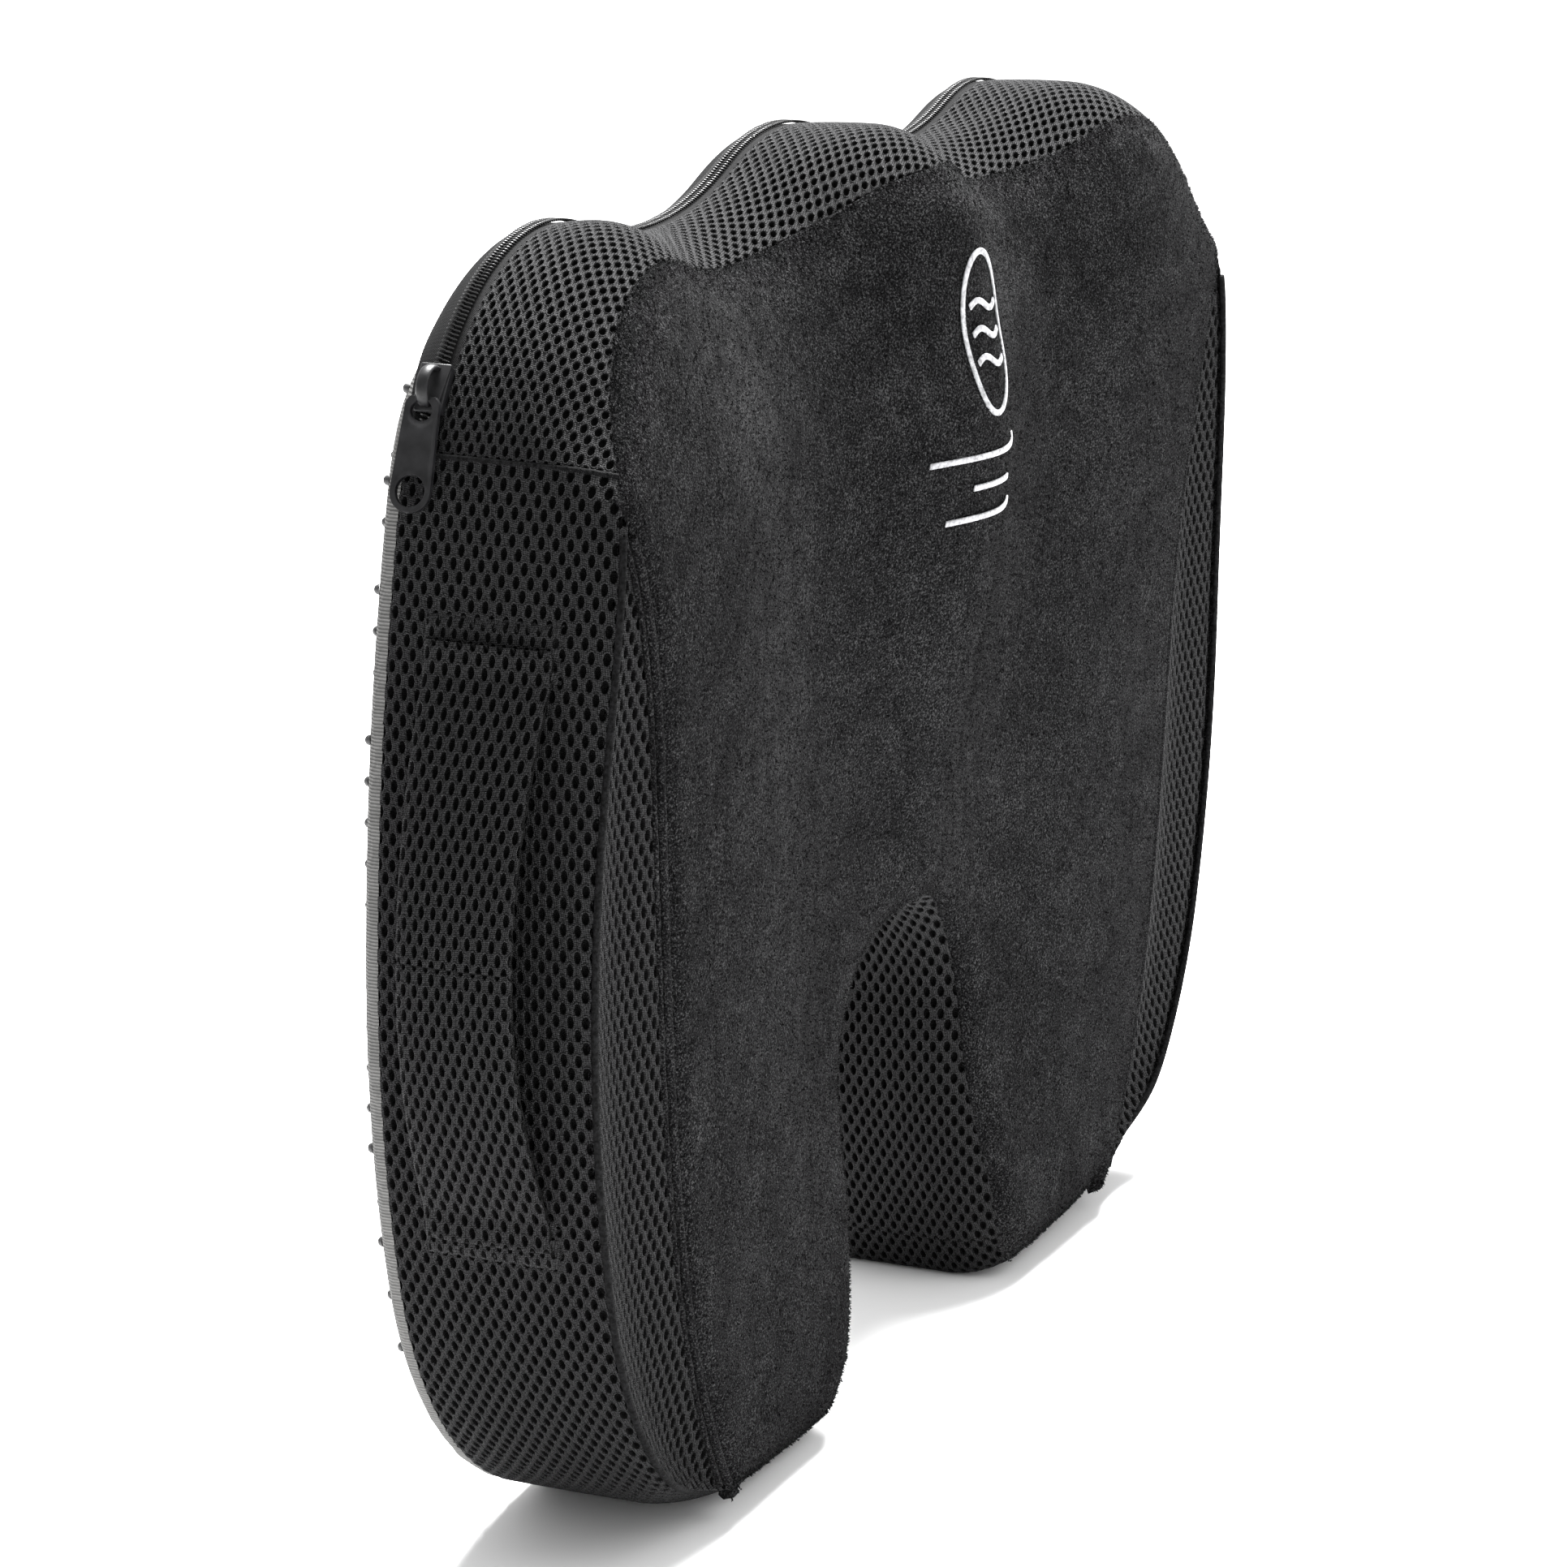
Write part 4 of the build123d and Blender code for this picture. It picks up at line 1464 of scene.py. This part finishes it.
def thread_places():
    """A thread at each step along every line, laid across it on the relief."""
    rng = np.random.default_rng(7)
    found = []
    for line in motif_lines():
        steps = even_steps(line, thread_pitch)
        run = np.gradient(steps, axis=0)
        for (x, z), (dx, dz) in zip(steps, run):
            x, z = x + motif_x, z + motif_z
            y = float(seat_y(x, z))
            slope_x = float(seat_y(x + MM, z) - seat_y(x - MM, z)) / (2 * MM)
            slope_z = float(seat_y(x, z + MM) - seat_y(x, z - MM)) / (2 * MM)
            run_3d = Vector((dx, slope_x * dx + slope_z * dz, dz)).normalized()
            normal = Vector((slope_x, -1, slope_z)).normalized()
            across = normal.cross(run_3d).normalized()
            bar = (across + run_3d * (0.25 + rng.uniform(-0.05, 0.05))).normalized()
            width = thread_pitch * 1.25
            length = thread_length * rng.uniform(0.95, 1.05)
            side = bar.cross(normal).normalized()
            place = Vector((x, y, z)) + normal * 0.45 * MM
            found.append(pose(place, side * width, normal * 0.8 * MM, bar * length))
    return found


threads = scatter("satin_threads", thread_bar(), thread_places())
belongs(threads, "root", "thread", "emblem")

# %% [markdown]
# ## Shader maths as plain sums
#
# A procedural material is arithmetic on patterns. A small class wraps a node's socket, so that an
# ordinary sum in Python adds the Math nodes for it, and one method adds any other node.

# %% A field that can be added and multiplied
class Field:
    """A number that changes over a surface."""

    def __init__(self, finish, socket):
        self.finish = finish
        self.socket = socket

    def maths(self, operation, *others, clamp=False):
        """A Math node over fields and numbers."""
        node = self.finish.node("ShaderNodeMath", {"operation": operation, "use_clamp": clamp})
        for slot, value in zip(node.inputs, others):
            self.finish.feed(slot, value)
        return Field(self.finish, node.outputs[0])

    def __add__(self, other):
        return self.maths("ADD", self, other)

    __radd__ = __add__

    def __mul__(self, other):
        return self.maths("MULTIPLY", self, other)

    __rmul__ = __mul__

    def __sub__(self, other):
        return self.maths("SUBTRACT", self, other)

    def __rsub__(self, other):
        return self.maths("SUBTRACT", other, self)

    def wave(self, length):
        """A sine that repeats over a length."""
        return self.maths("SINE", self * (WAVE / length))

    def clamped(self):
        """Kept between 0 and 1."""
        return self.maths("ADD", self, 0.0, clamp=True)


class Finish:
    """A material and the nodes that it is made of."""

    def __init__(self, name):
        self.material = bpy.data.materials.new(name)
        self.material.use_nodes = True
        self.tree = self.material.node_tree
        self.shader = self.tree.nodes["Principled BSDF"]

    def feed(self, socket, value):
        """Links a field or a socket, or sets a plain value."""
        if isinstance(value, Field):
            self.tree.links.new(value.socket, socket)
        elif isinstance(value, bpy.types.NodeSocket):
            self.tree.links.new(value, socket)
        else:
            socket.default_value = value

    def node(self, kind, settings=None, **values):
        """Any other node: its settings first, then the values or links of its sockets."""
        made = self.tree.nodes.new(kind)
        for key, value in (settings or {}).items():
            if key == "stops":
                ramp = made.color_ramp
                while len(ramp.elements) < len(value):
                    ramp.elements.new(0.5)
                for element, (position, colour) in zip(ramp.elements, value):
                    element.position = position
                    element.color = colour
            else:
                setattr(made, key, value)
        for key, value in values.items():
            self.feed(made.inputs[key.replace("_", " ")], value)
        return made

    def place(self):
        """Object coordinates, in metres."""
        return self.node("ShaderNodeTexCoord").outputs["Object"]

    def cloth(self):
        """Places on the flat cloth, from the piece's own UV map."""
        return self.node("ShaderNodeUVMap", {"uv_map": "cloth"}).outputs["UV"]

    def split(self, vector):
        """The three parts of a vector."""
        parts = self.node("ShaderNodeSeparateXYZ", Vector=vector)
        return [Field(self, parts.outputs[k]) for k in range(3)]

    def cloud(self, vector, size, detail=2.0, roughness=0.5):
        """Smooth noise with lumps of a size in metres."""
        made = self.node("ShaderNodeTexNoise", Vector=vector, Scale=1 / size, Detail=detail,
                         Roughness=roughness)
        return Field(self, made.outputs["Fac"])

    def attribute(self, name):
        """A number stored on the piece's corners."""
        made = self.node("ShaderNodeAttribute", {"attribute_name": name})
        return Field(self, made.outputs["Fac"])

    def ramp(self, field, *stops):
        """Colours over a field."""
        stops = [(position, (*colour, 1)) for position, colour in stops]
        return self.node("ShaderNodeValToRGB", {"stops": stops}, Fac=field).outputs["Color"]

    def bump(self, height, distance, strength=1.0):
        """Small relief from a field."""
        made = self.node("ShaderNodeBump", Height=height, Distance=distance, Strength=strength)
        return made.outputs["Normal"]

    def surface(self, **values):
        """Sets the shader's sockets, by their names with _ for a space."""
        for key, value in values.items():
            self.feed(self.shader.inputs[key.replace("_", " ")], value)
        return self.material


print("shader helpers ready")

# %% [markdown]
# ## Finishes of the cover
#
# Velour is a short dense pile. It is nearly black seen from above and a little paler at a glancing
# angle, which the shader's sheen gives, and its fibres lie in small tufts, which are noise of
# several sizes. Knitted mesh shows its twisted filaments as crossed waves, and its holes get
# painted shade that deepens with the depth stored on their corners.

# %% Velour and mesh
def velour_finish():
    """Short dense pile: tufts, strokes where it was brushed, and broad cloudy tone."""
    made = Finish("velour")
    place = made.place()
    tufts = made.cloud(place, 0.6 * MM, 3.0, 0.75)
    strokes = made.cloud(place, 11 * MM, 2.0)
    broad = made.cloud(place, 60 * MM, 1.0)
    shade = tufts * 0.84 + strokes * 0.1 + broad * 0.06
    colour = made.ramp(shade, (0.4, (0.002, 0.002, 0.0021)), (0.52, (0.008, 0.008, 0.0083)),
                       (0.68, (0.06, 0.06, 0.061)))
    height = made.cloud(place, 0.7 * MM, 2.0, 0.7) * 0.6 + made.cloud(place, 2.2 * MM, 2.0) * 0.4
    normal = made.bump(height, 0.9 * MM, 1.0)
    return made.surface(Base_Color=colour, Roughness=0.95, Normal=normal, Sheen_Weight=0.02,
                        Sheen_Roughness=0.4, Specular_IOR_Level=0.0)


def mesh_finish(name, low, high):
    """Knitted polyester: twisted bright filaments on top, and painted shade down the holes."""
    made = Finish(name)
    u, v, _ = made.split(made.cloth())
    depth = made.attribute("depth")
    twist = (u + v).wave(0.9 * MM) * (u - v).wave(1.2 * MM)
    fibres = made.cloud(made.cloth(), 0.5 * MM, 3.0, 0.7)
    # Painted shade: the hole walls and floors darken with their stored depth.
    shade = (twist * 0.14 + fibres) * (1 - depth * 2.4).clamped()
    colour = made.ramp(shade, (0.0, (0.002, 0.002, 0.002)), (0.36, low), (0.68, high))
    normal = made.bump(twist * 0.4 + fibres * 0.6, 0.35 * MM, 1.0)
    return made.surface(Base_Color=colour, Roughness=0.7, Normal=normal, Sheen_Weight=0.015,
                        Sheen_Roughness=0.4, Specular_IOR_Level=0.05)


velour_material = velour_finish()
mesh_material = mesh_finish("mesh_cloth", (0.0035, 0.0035, 0.0036), (0.036, 0.036, 0.037))
print("velour and mesh finishes")

# %% [markdown]
# ## Finishes of the small parts
#
# The grip cloth and the tapes are woven, so their patterns are waves across each other. Rubber,
# nylon and lacquer are plain, with a little noise in their tone and gloss, because nothing that
# is handled stays even.

# %% Grip cloth, rubber, tape, nylon, lacquer, silk and foam
def grip_finish():
    """Grey cloth with fine ribs across it."""
    made = Finish("grip_cloth")
    x, _, z = made.split(made.place())
    ribs = z.wave(0.9 * MM)
    weave = x.wave(0.7 * MM)
    speckle = made.cloud(made.place(), 0.8 * MM, 3.0, 0.7)
    shade = ribs * 0.18 + weave * 0.08 + speckle * 0.5 + 0.25
    colour = made.ramp(shade, (0.2, (0.065, 0.0645, 0.063)), (0.55, (0.1, 0.099, 0.097)),
                       (0.85, (0.14, 0.138, 0.135)))
    normal = made.bump(ribs * 0.6 + weave * 0.25 + speckle * 0.3, 0.16 * MM)
    return made.surface(Base_Color=colour, Roughness=0.85, Normal=normal, Specular_IOR_Level=0.1)


def rubber_finish():
    """Dull black rubber with a faint mottle."""
    made = Finish("rubber")
    mottle = made.cloud(made.place(), 1.5 * MM, 2.0)
    colour = made.ramp(mottle, (0.3, (0.012, 0.012, 0.012)), (0.7, (0.028, 0.028, 0.029)))
    return made.surface(Base_Color=colour, Roughness=mottle * 0.25 + 0.45,
                        Normal=made.bump(mottle, 0.1 * MM, 0.5))


def tape_finish():
    """Twill tape: slanted yarns over the ribs."""
    made = Finish("zip_tape")
    u, v, _ = made.split(made.cloth())
    yarn = (u * 1.4 + v).wave(0.65 * MM)
    fuzz = made.cloud(made.place(), 0.5 * MM, 2.0, 0.6)
    colour = made.ramp(yarn * 0.25 + fuzz * 0.6 + 0.1, (0.2, (0.0015, 0.0015, 0.0015)),
                       (0.8, (0.008, 0.008, 0.0085)))
    return made.surface(Base_Color=colour, Roughness=0.8, Specular_IOR_Level=0.1,
                        Normal=made.bump(yarn * 0.6 + fuzz, 0.15 * MM))


def nylon_finish():
    """Black nylon, rubbed here and there."""
    made = Finish("nylon_coil")
    wear = made.cloud(made.place(), 6 * MM, 2.0)
    colour = made.ramp(wear, (0.3, (0.004, 0.004, 0.004)), (0.7, (0.011, 0.011, 0.0115)))
    return made.surface(Base_Color=colour, Roughness=wear * 0.2 + 0.3)


def lacquer_finish():
    """Black lacquer on cast zinc, slightly pitted and rubbed."""
    made = Finish("black_lacquer")
    pits = made.cloud(made.place(), 0.5 * MM, 2.0, 0.6)
    rub = made.cloud(made.place(), 4 * MM, 3.0)
    colour = made.ramp(rub, (0.35, (0.004, 0.004, 0.0045)), (0.7, (0.011, 0.011, 0.012)))
    return made.surface(Base_Color=colour, Roughness=rub * 0.25 + 0.3, Specular_IOR_Level=0.22,
                        Normal=made.bump(pits, 0.04 * MM, 0.5))


def silk_finish():
    """Silver embroidery thread."""
    made = Finish("silver_thread")
    tone = made.cloud(made.place(), 1.2 * MM, 2.0)
    colour = made.ramp(tone, (0.3, (0.22, 0.22, 0.225)), (0.7, (0.55, 0.55, 0.57)))
    return made.surface(Base_Color=colour, Roughness=0.45, Specular_IOR_Level=0.3,
                        Normal=made.bump(made.cloud(made.place(), 0.25 * MM, 1.0), 0.08 * MM))


def foam_finish():
    """Open cells of cream foam."""
    made = Finish("foam")
    cells = made.node("ShaderNodeTexVoronoi", Vector=made.place(), Scale=1 / (1.1 * MM))
    gap = Field(made, cells.outputs["Distance"])
    colour = made.ramp(gap, (0.1, (0.5, 0.46, 0.38)), (0.6, (0.78, 0.74, 0.64)))
    return made.surface(Base_Color=colour, Roughness=0.95, Normal=made.bump(gap, 0.4 * MM))


def seam_shade_finish():
    """Near-black mesh for the seam lines: painted shade of the grooves that the seams make."""
    made = Finish("seam_shade_mesh")
    lumps = made.cloud(made.place(), 1.1 * MM, 2.0, 0.6)
    colour = made.ramp(lumps, (0.35, (0.0015, 0.0015, 0.0015)), (0.7, (0.009, 0.009, 0.0095)))
    return made.surface(Base_Color=colour, Roughness=0.8, Specular_IOR_Level=0.05,
                        Normal=made.bump(lumps, 0.5 * MM))


# The pressed finish in this table is painted shade for the seam lines.
finishes = {"velour": velour_material, "mesh": mesh_material, "grip": grip_finish(),
            "rubber": rubber_finish(), "zip_tape": tape_finish(), "zip_coil": nylon_finish(),
            "slider": lacquer_finish(), "thread": silk_finish(), "foam": foam_finish(),
            "pressed": seam_shade_finish()}
print("finishes:", ", ".join(sorted(finishes)))

# %% Give every piece its finish
def paint(piece, material):
    """Leaves a piece with one material."""
    piece.data.materials.clear()
    piece.data.materials.append(material)


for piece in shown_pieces():
    slot = piece.get("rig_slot")
    if slot is None:
        node = piece.get("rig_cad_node")
        slot = next(p["material_slot"] for p in frame["record"]["subparts"] if p["node"] == node)
    paint(piece, finishes[slot])
paint(dots, finishes["rubber"])
# The seam lines get the near-black finish: painted shade in their grooves.
for name in ("wall_seams_left", "wall_seams_right"):
    paint(bpy.data.objects[name], finishes["pressed"])

# %% [markdown]
# ## Floor, light and camera
#
# The cushion stands on a plain white floor in an even white room. One broad lamp high on its far
# side rakes over the front band and the velour, because a glancing light shows pile and weave, and
# a weak one in front opens the shadows. The camera's turn, dip and tilt are set as angles.

# %% Floor and lamps
def floor_finish():
    """Matt white board."""
    made = Finish("floor")
    tone = made.cloud(made.place(), 0.4, 1.0)
    colour = made.ramp(tone, (0.0, (0.96, 0.96, 0.96)), (1.0, (0.98, 0.98, 0.98)))
    return made.surface(Base_Color=colour, Roughness=0.9)


bpy.ops.object.select_all(action="DESELECT")
bpy.ops.mesh.primitive_plane_add(size=12)
floor = bpy.context.active_object
floor.name = "floor"
paint(floor, floor_finish())


def lamp(name, place, target, size, power):
    """A square lamp that faces a target."""
    light = bpy.data.lights.new(name, "AREA")
    light.size = size
    light.energy = power
    holder = bpy.data.objects.new(name, light)
    bpy.context.scene.collection.objects.link(holder)
    holder.location = place
    holder.rotation_euler = (Vector(target) - Vector(place)).to_track_quat("-Z", "Y").to_euler()


lamp("high", (0.75, 0.2, 1.8), (0, 0, 0.3), 0.9, 270)
lamp("high_front", (-0.2, -1.6, 1.6), (0, 0, 0.2), 1.2, 12)
world = bpy.data.worlds.new("room")
bpy.context.scene.world = world
world.use_nodes = True
room = world.node_tree.nodes["Background"]
room.inputs["Color"].default_value = (1, 1, 1, 1)
room.inputs["Strength"].default_value = 1.0
bpy.context.scene.view_settings.view_transform = "Standard"

# %% Camera
camera_place = Vector((-1.4723, -0.6002, 0.5818))
camera_turn, camera_dip, camera_tilt = (math.radians(a) for a in (67.08, 14.57, 0.60))
view = Vector((math.sin(camera_turn) * math.cos(camera_dip),
               math.cos(camera_turn) * math.cos(camera_dip), -math.sin(camera_dip)))
level = Vector((math.cos(camera_turn), -math.sin(camera_turn), 0))
upward = level.cross(view)
right = level * math.cos(camera_tilt) + upward * math.sin(camera_tilt)
upward = upward * math.cos(camera_tilt) - level * math.sin(camera_tilt)
camera_data = bpy.data.cameras.new("camera")
camera_data.lens = 134.04
camera_data.sensor_width = 36
camera = bpy.data.objects.new("camera", camera_data)
bpy.context.scene.collection.objects.link(camera)
camera.matrix_world = Matrix((
    (right.x, upward.x, -view.x, camera_place.x), (right.y, upward.y, -view.y, camera_place.y),
    (right.z, upward.z, -view.z, camera_place.z), (0, 0, 0, 1)))
bpy.context.scene.camera = camera
print("camera at", [round(v, 3) for v in camera_place])
